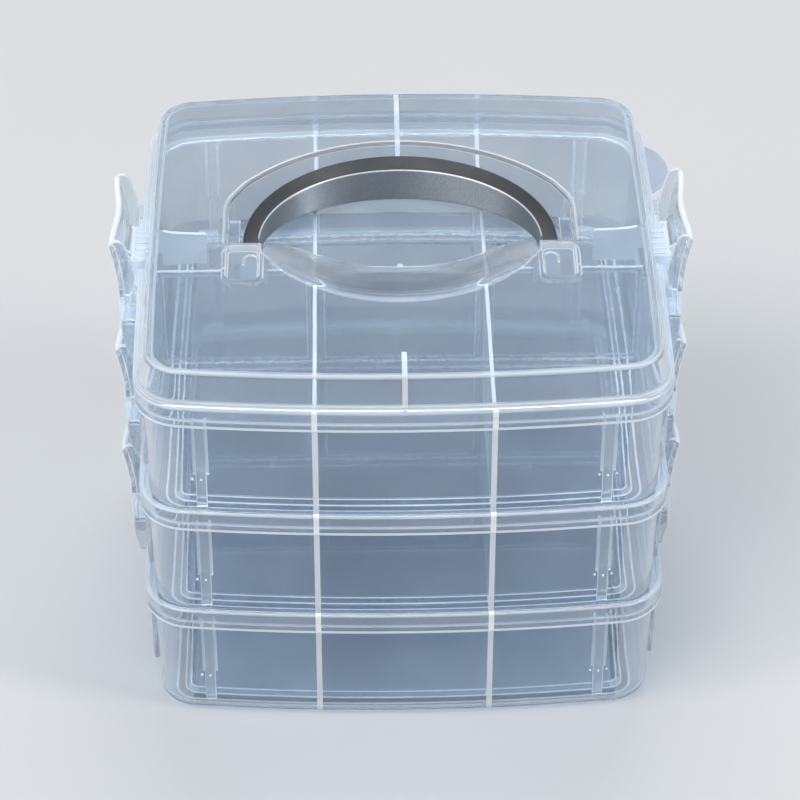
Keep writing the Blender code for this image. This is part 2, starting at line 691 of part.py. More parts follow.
def strap_ring(step):
    """One cross section of the bowed strap, seen from the pivot axis."""
    angle = math.pi * step / HANDLE_STEPS
    across = math.cos(angle)
    along = math.sin(angle)
    height = HANDLE_ARM_HEIGHT + (HANDLE_HEIGHT - HANDLE_ARM_HEIGHT) * along
    outer = Vector((HANDLE_HALF_X * across, HANDLE_REACH * along))
    inner = Vector((HANDLE_INNER_HALF_X * across, HANDLE_INNER_REACH * along))
    top = HANDLE_ARM_HEIGHT / 2
    return strap_section(outer, inner, top, top - height)


def arm_end_rings(side):
    """Sections of the round end of one arm, from the pivot forwards."""
    rings = []
    radius = HANDLE_ARM_HEIGHT / 2
    for step in range(1, ARM_END_STEPS + 1):
        angle = ARM_END_SHARE * QUARTER_TURN * step / ARM_END_STEPS
        along = -radius * math.sin(angle)
        half = radius * math.cos(angle)
        outer = Vector((side * HANDLE_HALF_X, along))
        inner = Vector((side * HANDLE_INNER_HALF_X, along))
        rings.append(strap_section(outer, inner, half, -half))
    return rings


def build_handle(material):
    strap = [strap_ring(step) for step in range(HANDLE_STEPS + 1)]
    handle = loft("handle", arm_end_rings(1)[::-1] + strap + arm_end_rings(-1))
    trunnions = []
    for side in (1, -1):
        inner = (HANDLE_INNER_HALF_X + HANDLE_HALF_X) / 2
        x0, x1 = sorted((side * inner, side * (HANDLE_HALF_X + TRUNNION_LENGTH)))
        trunnions.append(rod("trunnion", TRUNNION_RADIUS, x0, x1, (0, 0), "X"))
    combine(handle, trunnions, "UNION")
    finish_mesh(handle, "handle", material)
    return handle


def latch_plate_ring(place_share, height_share, flare_share):
    """Section of the latch plate at one place along it, hinge axis at zero."""
    outer = KNUCKLE_RADIUS
    inner = LATCH_INNER_U
    tip = LATCH_THICKNESS / 4
    low = -KNUCKLE_RADIUS / 2
    flare = LATCH_FLARE * flare_share
    top = LATCH_STRAIGHT + (LATCH_HEIGHT - LATCH_STRAIGHT) * height_share
    points = [(inner, low), (outer, low), (outer, LATCH_STRAIGHT)]
    points += [(outer + flare, top - tip), (outer + flare - tip, top)]
    points += [(inner + flare + tip, top), (inner + flare, top - tip)]
    points += [(inner, LATCH_STRAIGHT + tip)]
    return [(u, LATCH_HALF * place_share, w) for u, w in points]


def latch_cheek_points():
    """Side view of a cheek, the wall at each end of the latch plate."""
    root = KNUCKLE_RADIUS - LATCH_THICKNESS / 2
    end_flare = LATCH_FLARE * LIP_FLARE_SHARES[0] * LIP_HEIGHT_SHARES[0]
    top = LATCH_HEIGHT - CHEEK_TOP_DROP - (1 - LIP_HEIGHT_SHARES[0]) * (LATCH_HEIGHT - LATCH_STRAIGHT)
    shoulder = LATCH_HEIGHT - CHEEK_SHOULDER_DROP
    foot = LATCH_HEIGHT - CHEEK_FOOT_DROP
    tip = LATCH_INNER_U - CHEEK_DEPTH
    points = [(root, foot), (root, LATCH_STRAIGHT), (root + end_flare, top)]
    points += [(LATCH_INNER_U, top), (tip, shoulder), (tip + CHEEK_TAPER, foot)]
    return points


def latch_nose_points():
    """Side view of the nose; its underside climbs inwards like a ramp."""
    root = KNUCKLE_RADIUS - LATCH_THICKNESS / 2
    tip = NOSE_INNER_X - BAR_X
    corner = CATCH_REACH - BAR_X
    low = CATCH_TOP + GAP - BAR_Z
    slope = math.tan(math.radians(NOSE_RAMP_DEGREES))
    root_low = low - (root - corner) * slope
    tip_low = low + (corner - tip) * slope
    top = low + NOSE_HEIGHT
    return [(root, root_low), (root, top), (tip, tip_low + NOSE_TIP), (tip, tip_low)]


def build_latch(material):
    shares = zip(LIP_STATION_SHARES, LIP_HEIGHT_SHARES, LIP_FLARE_SHARES)
    latch = loft("latch", [latch_plate_ring(*share) for share in shares])
    triangulate(latch)
    parts = [prism("nose", latch_nose_points(), -NOSE_HALF, NOSE_HALF, "Y")]
    for turn in (1, -1):
        y0, y1 = sorted((turn * (LATCH_HALF - CHEEK_THICKNESS), turn * (LATCH_HALF - GAP / 2)))
        parts.append(prism("cheek", latch_cheek_points(), y0, y1, "Y"))
        y0, y1 = sorted((turn * (LATCH_HALF - KNUCKLE_WIDTH), turn * LATCH_HALF))
        parts.append(rod("knuckle", KNUCKLE_RADIUS, y0, y1, (0, 0)))
    combine(latch, parts, "UNION")
    reach = LATCH_HALF + GAP
    hole = rod("bar_hole", BAR_HOLE_RADIUS, -reach, reach, (0, 0))
    mouth = box("mouth", -2 * KNUCKLE_RADIUS, 0, -reach, reach, -KNUCKLE_MOUTH_HALF, KNUCKLE_MOUTH_HALF)
    combine(latch, [hole, mouth], "DIFFERENCE")
    finish_mesh(latch, "latch", material)
    return latch


def place(source, name, location, half_turn=False, parent=None, first=False):
    """Put a piece in its place; copies share the mesh of their source."""
    item = source if first else new_object(name, source.data)
    item.name = name
    item.location = location
    item.rotation_euler = (0, 0, math.pi if half_turn else 0)
    if parent is not None:
        bpy.context.view_layer.update()
        item.parent = parent
        item.matrix_parent_inverse = parent.matrix_world.inverted()
    return item


def assemble():
    clear = plastic("clear_plastic", (0.55, 0.66, 0.75), 0.18, alpha=0.45)
    latch_clear = plastic("latch_plastic", (0.62, 0.72, 0.80), 0.20, alpha=0.55)
    divider_clear = plastic("divider_plastic", (0.60, 0.70, 0.78), 0.18, alpha=0.50)
    lid_clear = plastic("lid_plastic", (0.55, 0.67, 0.76), 0.15, alpha=0.45)
    silver = plastic("silver_handle", (0.48, 0.49, 0.50), 0.35, metallic=0.8)

    base_tray = build_tray("tray_bottom", clear, False)
    upper_tray = build_tray("tray_middle", clear, True)
    divider_side, divider_centre = build_dividers(divider_clear)
    latch = build_latch(latch_clear)
    lid = build_lid(lid_clear)
    handle = build_handle(silver)

    levels = ("bottom", "middle", "top")
    trays = []
    for index, level in enumerate(levels):
        height = index * PITCH
        first = index == 0
        parent = trays[-1] if trays else None
        tray = base_tray if first else upper_tray
        holder = place(tray, "tray_" + level, (0, 0, height), parent=parent, first=index < 2)
        trays.append(holder)
        place(divider_side, "divider_%s_right" % level, (0, 0, height), parent=holder, first=first)
        place(divider_side, "divider_%s_left" % level, (0, 0, height), half_turn=True, parent=holder)
        place(divider_centre, "divider_%s_centre" % level, (0, 0, height), parent=holder, first=first)
        hinge = height + BAR_Z
        place(latch, "latch_%s_right" % level, (BAR_X, 0, hinge), parent=holder, first=first)
        place(latch, "latch_%s_left" % level, (-BAR_X, 0, hinge), half_turn=True, parent=holder)
    place(lid, "lid", (0, 0, 0), parent=trays[-1], first=True)
    place(handle, "handle", (0, PIVOT_Y, PIVOT_Z), parent=lid, first=True)


remove_scene_objects()
assemble()
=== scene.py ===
# %% [markdown]
# # A clear compartment organizer box with a folding handle
#
# This lesson dresses a finished CAD model of a three-tier organizer box. The CAD model
# gives every size and every joint. Here each part gets its finer rounded form and a
# finish: clear, slightly milky polypropylene for the box, and a satin silver-grey
# for the handle. Each new piece takes the place of the CAD part that it stands for.

# %% Load the CAD model
import math

import bmesh
import bpy
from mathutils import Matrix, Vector


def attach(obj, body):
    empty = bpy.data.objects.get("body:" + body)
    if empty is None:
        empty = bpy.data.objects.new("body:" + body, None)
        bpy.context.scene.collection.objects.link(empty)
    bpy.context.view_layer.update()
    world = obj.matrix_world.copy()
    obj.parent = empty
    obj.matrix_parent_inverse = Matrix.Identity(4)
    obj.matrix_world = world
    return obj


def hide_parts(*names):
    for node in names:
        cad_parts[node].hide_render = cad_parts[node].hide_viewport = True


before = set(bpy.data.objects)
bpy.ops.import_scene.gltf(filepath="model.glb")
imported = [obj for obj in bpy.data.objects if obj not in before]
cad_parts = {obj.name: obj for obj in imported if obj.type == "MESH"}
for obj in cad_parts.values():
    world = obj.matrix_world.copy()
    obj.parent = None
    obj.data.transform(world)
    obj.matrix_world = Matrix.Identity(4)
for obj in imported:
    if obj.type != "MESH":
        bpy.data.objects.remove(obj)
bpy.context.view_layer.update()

# %% [markdown]
# ## Selecting by hand and in code
#
# Blender's operators act on all that is selected, and the CAD parts are selected after
# loading. So each step starts from nothing and then selects just its own piece.

# %% Select one piece
def deselect_all():
    """Start a step from nothing."""
    bpy.ops.object.select_all(action="DESELECT")


def only(piece):
    """Select one piece and make it active."""
    deselect_all()
    piece.select_set(True)
    bpy.context.view_layer.objects.active = piece


# %% [markdown]
# ## One way to make every moulded piece
#
# Injection-moulded parts are closed shells with soft edges. A filled circle is a good
# start for such a shell: its corners go onto the first contour, and then the cap is
# extruded again and again, and each new cap is put on the next contour. The shell is
# closed at every step, so clear plastic refracts light in it as in a real wall. The
# circle's own size doesn't matter, because every corner of it is moved.

# %% A closed shell from contours
START_RADIUS = 0.01


def put_cap(piece, contour):
    """Move the corners of the selected cap onto a contour, in their order."""
    mesh = bmesh.from_edit_mesh(piece.data)
    cap = next(face for face in mesh.faces if face.select)
    for corner, point in zip(cap.verts, contour):
        corner.co = point
    bmesh.update_edit_mesh(piece.data)


def extruded(name, contours):
    """Closed shell: one cap extruded from contour to contour."""
    deselect_all()
    bpy.ops.mesh.primitive_circle_add(
        vertices=len(contours[0]), radius=START_RADIUS, fill_type="NGON")
    piece = bpy.context.active_object
    piece.name = name
    piece.data.name = name
    bpy.ops.object.mode_set(mode="EDIT")
    bpy.ops.mesh.select_mode(type="FACE")
    bpy.ops.mesh.select_all(action="SELECT")
    put_cap(piece, contours[0])
    for contour in contours[1:]:
        bpy.ops.mesh.extrude_region_move()
        put_cap(piece, contour)
    bpy.ops.mesh.select_all(action="SELECT")
    bpy.ops.mesh.normals_make_consistent(inside=False)
    bpy.ops.object.mode_set(mode="OBJECT")
    return piece


# %% [markdown]
# ## Ingredients of a moulding
#
# Small forms on a moulding are slabs, blocks and round bars with soft edges. A bevel on
# the sharp edges alone gives each one its rounding, as the mould's cutter would, and
# leaves the rounded ones as they are.

# %% Soft edges
BEVEL_STEPS = 2
SHARP = 30
BAR_SHARP = 60
BAR_SIDES = 32


def soften(piece, width, steps=BEVEL_STEPS, sharp=SHARP):
    """Round every edge of an ingredient that is sharper than an angle."""
    only(piece)
    bpy.ops.object.mode_set(mode="EDIT")
    bpy.ops.mesh.select_mode(type="EDGE")
    bpy.ops.mesh.select_all(action="DESELECT")
    bpy.ops.mesh.edges_select_sharp(sharpness=math.radians(sharp))
    bpy.ops.mesh.bevel(offset=width, segments=steps, affect="EDGES", clamp_overlap=True)
    bpy.ops.object.mode_set(mode="OBJECT")
    return piece


# %% Slabs, blocks and bars
def slab(name, outline, start, end, axis, edge=0.0, steps=BEVEL_STEPS):
    """A flat outline given a thickness along one axis, with soft edges."""
    def lift(point, height):
        if axis == "X":
            return (height, point[0], point[1])
        if axis == "Y":
            return (point[0], height, point[1])
        return (point[0], point[1], height)
    low = [lift(point, start) for point in outline]
    high = [lift(point, end) for point in outline]
    piece = extruded(name, [low, high])
    return soften(piece, edge, steps) if edge else piece


def block(name, low, high, edge=0.0):
    """A block between two opposite corners, with soft edges."""
    deselect_all()
    middle = [(a + b) / 2 for a, b in zip(low, high)]
    size = [abs(b - a) for a, b in zip(low, high)]
    bpy.ops.mesh.primitive_cube_add(size=1, location=middle, scale=size)
    piece = bpy.context.active_object
    piece.name = name
    bpy.ops.object.transform_apply(location=True, rotation=True, scale=True)
    return soften(piece, edge) if edge else piece


def bar(name, radius, start, end, around, axis, sides=BAR_SIDES, edge=0.0):
    """A round bar along one axis, with soft ends."""
    deselect_all()
    half = (start + end) / 2
    place = {"X": (half, *around), "Y": (around[0], half, around[1]), "Z": (*around, half)}[axis]
    turn = {"X": (0, math.pi / 2, 0), "Y": (math.pi / 2, 0, 0), "Z": (0, 0, 0)}[axis]
    bpy.ops.mesh.primitive_cylinder_add(
        vertices=sides, radius=radius, depth=abs(end - start), location=place, rotation=turn)
    piece = bpy.context.active_object
    piece.name = name
    bpy.ops.object.transform_apply(location=True, rotation=True, scale=True)
    return soften(piece, edge, sharp=BAR_SHARP) if edge else piece


# %% [markdown]
# An ingredient becomes part of a moulding by a Boolean, which leaves one closed shell.
# At the end doubles are merged and the shading is made smooth between sharp edges. Then
# the number of edges that don't join two faces is printed, and it has to be zero.

# %% Join, shape and smooth
DOUBLES = 0.000004
SMOOTH_ANGLE = 32


def joined(pieces):
    """One mesh from ingredients that don't touch each other."""
    deselect_all()
    for piece in pieces:
        piece.select_set(True)
    bpy.context.view_layer.objects.active = pieces[0]
    if len(pieces) > 1:
        bpy.ops.object.join()
    return pieces[0]


def shaped(piece, tool, operation):
    """Add an ingredient to a piece, or cut with it, and apply the change."""
    only(piece)
    bpy.ops.object.modifier_add(type="BOOLEAN")
    change = piece.modifiers[-1]
    change.operation = operation
    change.solver = "EXACT"
    change.object = tool
    bpy.ops.object.modifier_apply(modifier=change.name)
    bpy.data.objects.remove(tool, do_unlink=True)
    return piece


def smoothed(piece, angle=SMOOTH_ANGLE):
    """Merge doubles, shade smooth between the sharp edges and weigh the normals."""
    only(piece)
    bpy.ops.object.mode_set(mode="EDIT")
    bpy.ops.mesh.select_all(action="SELECT")
    bpy.ops.mesh.remove_doubles(threshold=DOUBLES)
    bpy.ops.mesh.normals_make_consistent(inside=False)
    bpy.ops.object.mode_set(mode="OBJECT")
    bpy.ops.object.shade_smooth_by_angle(angle=math.radians(angle))
    bpy.ops.object.modifier_add(type="WEIGHTED_NORMAL")
    piece.modifiers[-1].keep_sharp = True
    bpy.ops.object.modifier_apply(modifier=piece.modifiers[-1].name)
    return piece


def report(piece):
    """Print what a step made."""
    mesh = bmesh.new()
    mesh.from_mesh(piece.data)
    loose = sum(1 for edge in mesh.edges if len(edge.link_faces) != 2)
    faces = len(mesh.faces)
    mesh.free()
    print("%s: %d faces, %d open edges" % (piece.name, faces, loose))


# %% [markdown]
# ## Bright edges, a painted glow
#
# On the real box the tight roundings and the thick spots look almost white, because
# light that travels inside the walls leaves them there. The finish paints this light in
# as a whitish glow, so it needs to know where they are: each face gets a number, how
# tightly the surface bends at it. A bend with a radius of about a millimetre or less
# counts fully. Corners that were left sharp don't count. Places that are thick get a
# number of their own.

# %% Mark tight bends
SOFTEST_BEND = 350.0
TIGHTEST_BEND = 900.0
SHARP_CORNER = 60
LONG_EDGE_SHARE = 0.4
NARROWEST_FACE = 0.00005


def mark_bends(piece, most):
    """Store on each face how tightly it bends, from 0 for flat up to the most."""
    mesh = bmesh.new()
    mesh.from_mesh(piece.data)
    layer = mesh.faces.layers.float.new("painted_glow")
    for face in mesh.faces:
        bend = 0.0
        longest = max(edge.calc_length() for edge in face.edges)
        width = face.calc_area() / longest
        for edge in face.edges:
            if edge.calc_length() > LONG_EDGE_SHARE * longest and len(edge.link_faces) == 2:
                angle = edge.calc_face_angle()
                if angle < math.radians(SHARP_CORNER):
                    bend = max(bend, angle / max(width, NARROWEST_FACE))
        share = (bend - SOFTEST_BEND) / (TIGHTEST_BEND - SOFTEST_BEND)
        face[layer] = most * min(max(share, 0.0), 1.0)
    mesh.to_mesh(piece.data)
    mesh.free()


# %% Mark places
def mark_where(piece, value, test):
    """Raise the number of the faces that a test picks by middle and normal."""
    mesh = bmesh.new()
    mesh.from_mesh(piece.data)
    layer = mesh.faces.layers.float["painted_glow"]
    count = 0
    for face in mesh.faces:
        if test(face.calc_center_median(), face.normal):
            face[layer] = max(face[layer], value)
            count += 1
    mesh.to_mesh(piece.data)
    mesh.free()
    print("%s: %d faces marked %.2f" % (piece.name, count, value))


# %% [markdown]
# ## The plan of the box
#
# Seen from above the box is a square with softly bowed sides and round corners. Each
# side is a slice of a very wide circle, and each corner a quarter of a small one that
# touches both. Every wall of the trays and the lid follows this line, further in or
# out, so one function draws it for any inset. The line also has corners on both sides
# of a partition and of the lid's middle rib, so that a finish can end there.

# %% The corner of the plan
RIM_HALF_X = 0.0773
RIM_HALF_Y = 0.0766
FRONT_BOW = 0.600
SIDE_BOW = 3.000
RIM_CORNER = 0.0145
PARTITION_X = 0.0254
STRIP_HALF = 0.0008
ROOT_HALF = 0.00075


def corner_middle():
    """Middle of the corner circle that touches both bowed sides from inside."""
    front = Vector((0, RIM_HALF_Y - FRONT_BOW))
    side = Vector((RIM_HALF_X - SIDE_BOW, 0))
    between = side - front
    span = between.length
    to_front = FRONT_BOW - RIM_CORNER
    to_side = SIDE_BOW - RIM_CORNER
    along = (to_front ** 2 - to_side ** 2 + span ** 2) / (2 * span)
    across = math.sqrt(to_front ** 2 - along ** 2)
    direction = between / span
    normal = Vector((-direction.y, direction.x))
    options = [front + direction * along + normal * across * turn for turn in (1, -1)]
    return max(options, key=lambda point: point.x + point.y)


# %% The plan at any inset
FRONT_STEPS = 10
SIDE_STEPS = 4
CORNER_STEPS = 9


def plan(inset):
    """Plan outline, counter-clockwise, moved inwards by an inset."""
    middle = corner_middle()
    front = Vector((0, RIM_HALF_Y - FRONT_BOW))
    side = Vector((RIM_HALF_X - SIDE_BOW, 0))
    front_angle = math.atan2(middle.x, middle.y - front.y)
    side_angle = math.atan2(middle.y, middle.x - side.x)
    front_radius = FRONT_BOW - inset
    side_radius = SIDE_BOW - inset
    radius = RIM_CORNER - inset
    quarter = []
    for step in range(SIDE_STEPS + 1):
        angle = side_angle * step / SIDE_STEPS
        quarter.append((side.x + side_radius * math.cos(angle), side_radius * math.sin(angle)))
    for step in range(1, CORNER_STEPS):
        angle = side_angle + (math.pi / 2 - front_angle - side_angle) * step / CORNER_STEPS
        quarter.append((middle.x + radius * math.cos(angle), middle.y + radius * math.sin(angle)))
    angles = [front_angle * step / FRONT_STEPS for step in range(FRONT_STEPS + 1)]
    for x in (ROOT_HALF, PARTITION_X - STRIP_HALF, PARTITION_X + STRIP_HALF):
        angles.append(math.asin(x / front_radius))
    for angle in sorted(angles, reverse=True):
        quarter.append((front_radius * math.sin(angle), front.y + front_radius * math.cos(angle)))
    back = quarter + [(-x, y) for x, y in reversed(quarter[:-1])]
    return back + [(-x, -y) for x, y in back[1:-1]]


print("Points round the plan:", len(plan(0)))

# %% Places on the walls
def wall_y(inset, x):
    """Half depth of the box at a place along its front."""
    return RIM_HALF_Y - FRONT_BOW + math.sqrt((FRONT_BOW - inset) ** 2 - x ** 2)


def wall_x(inset, y):
    """Half width of the box at a place along its side."""
    return RIM_HALF_X - SIDE_BOW + math.sqrt((SIDE_BOW - inset) ** 2 - y ** 2)


def inset_at(place):
    """How far a place lies inside the rim's plan."""
    middle = corner_middle()
    across = abs(place.x) - middle.x
    along = abs(place.y) - middle.y
    if across > 0 and along > 0:
        return RIM_CORNER - math.hypot(across, along)
    return min(wall_y(0, place.x) - abs(place.y), wall_x(0, place.y) - abs(place.x))


# %% A section that runs round the plan
def round_bend(inset, height, radius, start, end, steps):
    """Points of a round bend in (inset, height) about its middle, in degrees."""
    points = []
    for step in range(steps + 1):
        angle = math.radians(start + (end - start) * step / steps)
        points.append((inset - radius * math.cos(angle), height + radius * math.sin(angle)))
    return points


def moulded(name, section):
    """A shell whose section in (inset, height) runs right round the box."""
    return extruded(name, [[(x, y, z) for x, y in plan(inset)] for inset, z in section])


# %% [markdown]
# ## The tray
#
# A tray is a thin open box with a raised middle in its floor, a round foot, a wall
# that leans out a little, and at the top a ledge and a taller collar that the next
# tray nests into. All this is one section that runs round the plan. The collar's lips
# are rounded, because those roundings are what lights up as bright lines. A negative
# radius in the section is a bend that turns the other way.

# %% Section of the tray shell
PITCH = 0.0377
TRAY_TOP = 0.0430
LEDGE = 0.0374
FOOT = 0.0031
FOOT_ROUND = 0.0045
FLOOR_ROUND = 0.0030
FLOOR_TOP = 0.0015
WALL_TOP = 0.0023
WALL = 0.0014
COLLAR_LOW = 0.0356
BEAD = 0.0005
LIP = 0.0006


def tray_section():
    """From the underside's middle out and up, over the collar, and down inside."""
    section = [(0.0139, 0.00100), (0.0136, 0.00092), (0.0124, 0.00012), (0.0120, 0.00000)]
    section += round_bend(FOOT + FOOT_ROUND, FOOT_ROUND, FOOT_ROUND, -90, 0, 7)
    section += [(WALL_TOP, COLLAR_LOW), (0.00212, 0.03584), (0.0019, 0.0359)]
    section += round_bend(BEAD, 0.0364, BEAD, -90, 0, 3)
    section += [(0.00003, 0.0371), (0.00006, 0.0383), (0.00026, 0.0390), (0.00020, 0.0397)]
    section += [(0.0, 0.0404)]
    section += round_bend(LIP, TRAY_TOP - LIP, LIP, 0, 90, 4)
    section += round_bend(0.0012, TRAY_TOP - BEAD, -BEAD, -90, 0, 3)
    section += [(0.0017, 0.0379), (0.0018, 0.03752), (0.0022, LEDGE)]
    section += round_bend(0.0032, LEDGE - BEAD, -BEAD, -90, 0, 3)
    section += round_bend(0.0075, FLOOR_TOP + FLOOR_ROUND, FLOOR_ROUND, 0, -90, 6)
    section += [(0.0082, FLOOR_TOP), (0.0102, FLOOR_TOP), (0.0107, 0.0016)]
    section += [(0.0119, 0.0024), (0.0123, 0.0025)]
    return section


tray = moulded("clear_tray", tray_section())
report(tray)

# %% [markdown]
# Two fixed partitions run from front to back. Each is a thin wall with a rounded top,
# and its ends run into the middle of the tray's wall, so that the join leaves no
# seam. A sharp top edge would catch too much light, so it is a full round.

# %% Fixed partitions
PARTITION_HALF = 0.0006
PARTITION_ROUND = 0.00035
PARTITION_TOP = 0.0371
PARTITION_LOW = 0.00125
PARTITION_CUT = 0.0037
WALL_MIDDLE = 0.0034


def partition(x):
    """Outline seen from the side, from the front wall to the back wall."""
    far = wall_y(WALL_MIDDLE, x)
    half = [(far - PARTITION_CUT, PARTITION_LOW), (far, FOOT_ROUND), (far, PARTITION_TOP)]
    outline = half + [(-y, z) for y, z in reversed(half)]
    left, right = x - PARTITION_HALF, x + PARTITION_HALF
    return slab("partition", outline, left, right, "X", PARTITION_ROUND, 3)


for side in (1, -1):
    shaped(tray, partition(side * PARTITION_X), "UNION")
report(tray)

# %% [markdown]
# The loose cross dividers slide between pairs of thin upright rails, on the side walls
# and on both faces of each partition. All rails are small softened blocks.

# %% Rails for the dividers
RAIL_TOP = 0.0340
GROOVE = 0.00085
RAIL = 0.0010
RAIL_DEPTH = 0.0012
RAIL_EDGE = 0.00025
rail_inset = FOOT + WALL + RAIL_DEPTH
rail_reach = PARTITION_HALF + RAIL_DEPTH


def rail_pair(from_x, to_x):
    """Two rails with a groove for a divider between them."""
    low_x, high_x = sorted((from_x, to_x))
    pair = []
    for turn in (1, -1):
        low, high = sorted((turn * GROOVE, turn * (GROOVE + RAIL)))
        pair.append(block("rail", (low_x, low, FOOT_ROUND), (high_x, high, RAIL_TOP), RAIL_EDGE))
    return pair


rails = []
for side in (1, -1):
    rails += rail_pair(side * wall_x(WALL_MIDDLE, 0), side * wall_x(rail_inset, 0))
    for turn in (1, -1):
        rails += rail_pair(side * PARTITION_X, side * PARTITION_X + turn * rail_reach)
shaped(tray, joined(rails), "UNION")
report(tray)

# %% [markdown]
# Two more rails stand on the front and back walls near each corner. Between them the
# wall is a little thicker, which shows as a paler field, and below them is a foot pad.

# %% Spare rails, their fields and foot pads near the corners
SPARE_X = 0.0580
SPARE_TOP = 0.0368
SPARE_FOOT = 0.0165
SPARE_INNER = 0.0013
SPARE_OUTER = 0.0023
PAD_HALF = 0.0016
PAD_TOP = 0.0177
PAD_EDGE = 0.0003
FIELD_HALF = 0.0018
FIELD_FOOT = 0.0170
FIELD_DROP = 0.0002
FIELD_INSET = 0.0048
corners = [(side * SPARE_X, turn) for side in (1, -1) for turn in (1, -1)]


def from_wall(inset, x, turn):
    """Span from the wall's middle to an inset, on the front or the back wall."""
    return sorted((turn * wall_y(WALL_MIDDLE, x), turn * wall_y(inset, x)))


fields = []
pads = []
spares = []
for x, turn in corners:
    y0, y1 = from_wall(FIELD_INSET, x, turn)
    low, high = (x - FIELD_HALF, y0, FIELD_FOOT), (x + FIELD_HALF, y1, SPARE_TOP - FIELD_DROP)
    fields.append(block("spare_field", low, high))
    y0, y1 = from_wall(rail_inset, x, turn)
    low, high = (x - PAD_HALF, y0, FOOT_ROUND), (x + PAD_HALF, y1, PAD_TOP)
    pads.append(block("spare_pad", low, high, PAD_EDGE))
    for hand in (1, -1):
        x0, x1 = sorted((x + hand * SPARE_INNER, x + hand * SPARE_OUTER))
        spares.append(block("spare_rail", (x0, y0, SPARE_FOOT), (x1, y1, SPARE_TOP), RAIL_EDGE))
for ingredients in (fields, pads, spares):
    shaped(tray, joined(ingredients), "UNION")
report(tray)

# %% [markdown]
# Three tiny pips stand on the outside of the wall in front of the upper end of each foot
# pad, where the mould's pins met the plastic.

# %% Pips by the foot pads
PIP = 0.0004
PIP_PLACES = ((-0.0025, 0.0160), (0.0, 0.0155), (0.0025, 0.0160))
pips = []
for x, turn in corners:
    for offset, height in PIP_PLACES:
        deselect_all()
        y = turn * wall_y(FOOT - PIP, SPARE_X + offset)
        bpy.ops.mesh.primitive_uv_sphere_add(
            segments=12, ring_count=8, radius=PIP, location=(x + offset, y, height))
        pips.append(bpy.context.active_object)
pips = joined(pips)
bpy.ops.object.transform_apply(location=True, rotation=True, scale=True)
shaped(tray, pips, "UNION")
report(tray)

# %% [markdown]
# Each side carries a raised panel, and on it two ears that hold a round bar, the
# hinge of the latch. The ears are slabs cut to their side view. The bar is sunk half
# way into both ears.

# %% Side panels, hinge ears and hinge bars
BAR_X = 0.0800
BAR_Z = 0.0306
BAR_RADIUS = 0.0013
PANEL_HALF = 0.0580
PANEL_LOW = 0.0108
PANEL_TOP = 0.03665
PANEL_PROUD = 0.0006
PANEL_EDGE = 0.0005
EAR_Y = 0.0183
EAR = 0.0016
EAR_EDGE = 0.00035
EAR_LOW = 0.0215
EAR_TOP = 0.0331
EAR_OUT = 0.0822


def hinge_side(side):
    """Panel, ears and bar of one side of the tray."""
    wall = wall_x(WALL_MIDDLE, 0)
    proud = wall_x(WALL_TOP, 0) + PANEL_PROUD
    x0, x1 = sorted((side * wall_x(WALL_MIDDLE, PANEL_HALF), side * proud))
    low, high = (x0, -PANEL_HALF, PANEL_LOW), (x1, PANEL_HALF, PANEL_TOP)
    shaped(tray, block("side_panel", low, high, PANEL_EDGE), "UNION")
    outline = [(wall, EAR_LOW), (0.0808, EAR_LOW), (EAR_OUT, 0.0285), (EAR_OUT, EAR_TOP)]
    outline += [(wall, EAR_TOP)]
    outline = [(side * x, z) for x, z in outline]
    ears = []
    for turn in (1, -1):
        y0, y1 = sorted((turn * EAR_Y, turn * (EAR_Y + EAR)))
        ears.append(slab("ear", outline, y0, y1, "Y", EAR_EDGE))
    shaped(tray, joined(ears), "UNION")
    reach = EAR_Y + EAR / 2
    around = (side * BAR_X, BAR_Z)
    shaped(tray, bar("hinge_bar", BAR_RADIUS, -reach, reach, around, "Y"), "UNION")


for side in (1, -1):
    hinge_side(side)
report(tray)

# %% [markdown]
# ## The catch
#
# The nose of a latch hooks over a catch block. A real one is ribbed on top so that it
# stays stiff with little plastic, and it is open below its outer shelf. The same block
# stands on the upper trays and on the lid, so one function makes it at any height.

# %% Ribbed catch blocks
CATCH_HALF = 0.0080
CATCH_REACH = 0.0805
CATCH_HEIGHT = 0.0039
CATCH_EDGE = 0.0003
UNDERCUT_X = 0.0783
UNDERCUT = 0.0012
RIB_COUNT = 6
RIB = 0.0012
RIB_MARGIN = 0.0006
RIB_REACH = 0.0785
RIB_SUNK = 0.0010
RIB_PROUD = 0.0005
RIB_EDGE = 0.0002
NEST = 0.0003


def catch_block(side, root, bottom):
    """Shelf with an undercut, and its ribs."""
    top = bottom + CATCH_HEIGHT
    under = bottom + UNDERCUT
    outline = [(root, bottom), (UNDERCUT_X, bottom), (UNDERCUT_X, under), (CATCH_REACH, under)]
    outline += [(CATCH_REACH, top), (root, top)]
    outline = [(side * x, z) for x, z in outline]
    shelf = slab("catch", outline, -CATCH_HALF, CATCH_HALF, "Y", CATCH_EDGE)
    ribs = []
    spacing = 2 * (CATCH_HALF - RIB) / (RIB_COUNT - 1)
    x0, x1 = sorted((side * root, side * RIB_REACH))
    for index in range(RIB_COUNT):
        y0 = -CATCH_HALF + RIB_MARGIN + spacing * index
        low, high = (x0, y0, top - RIB_SUNK), (x1, y0 + RIB, top + RIB_PROUD)
        ribs.append(block("rib", low, high, RIB_EDGE))
    return shelf, joined(ribs)


only(tray)
bpy.ops.object.duplicate()
upper_tray = bpy.context.active_object
upper_tray.name = "clear_tray_middle"
for side in (1, -1):
    for part in catch_block(side, wall_x(WALL_MIDDLE, 0), TRAY_TOP + NEST - PITCH):
        shaped(upper_tray, part, "UNION")
report(upper_tray)

# %% [markdown]
# ## What is bright on a tray
#
# In the photo the brightest lines of a tray are the underside of its collar, the top
# edges of the partitions and the white strips where they meet the front wall. Weaker
# ones are the rails, the pips, the steps of the floor and the corners' walls. On the
# back wall, seen through all the others, the same lines are weaker.

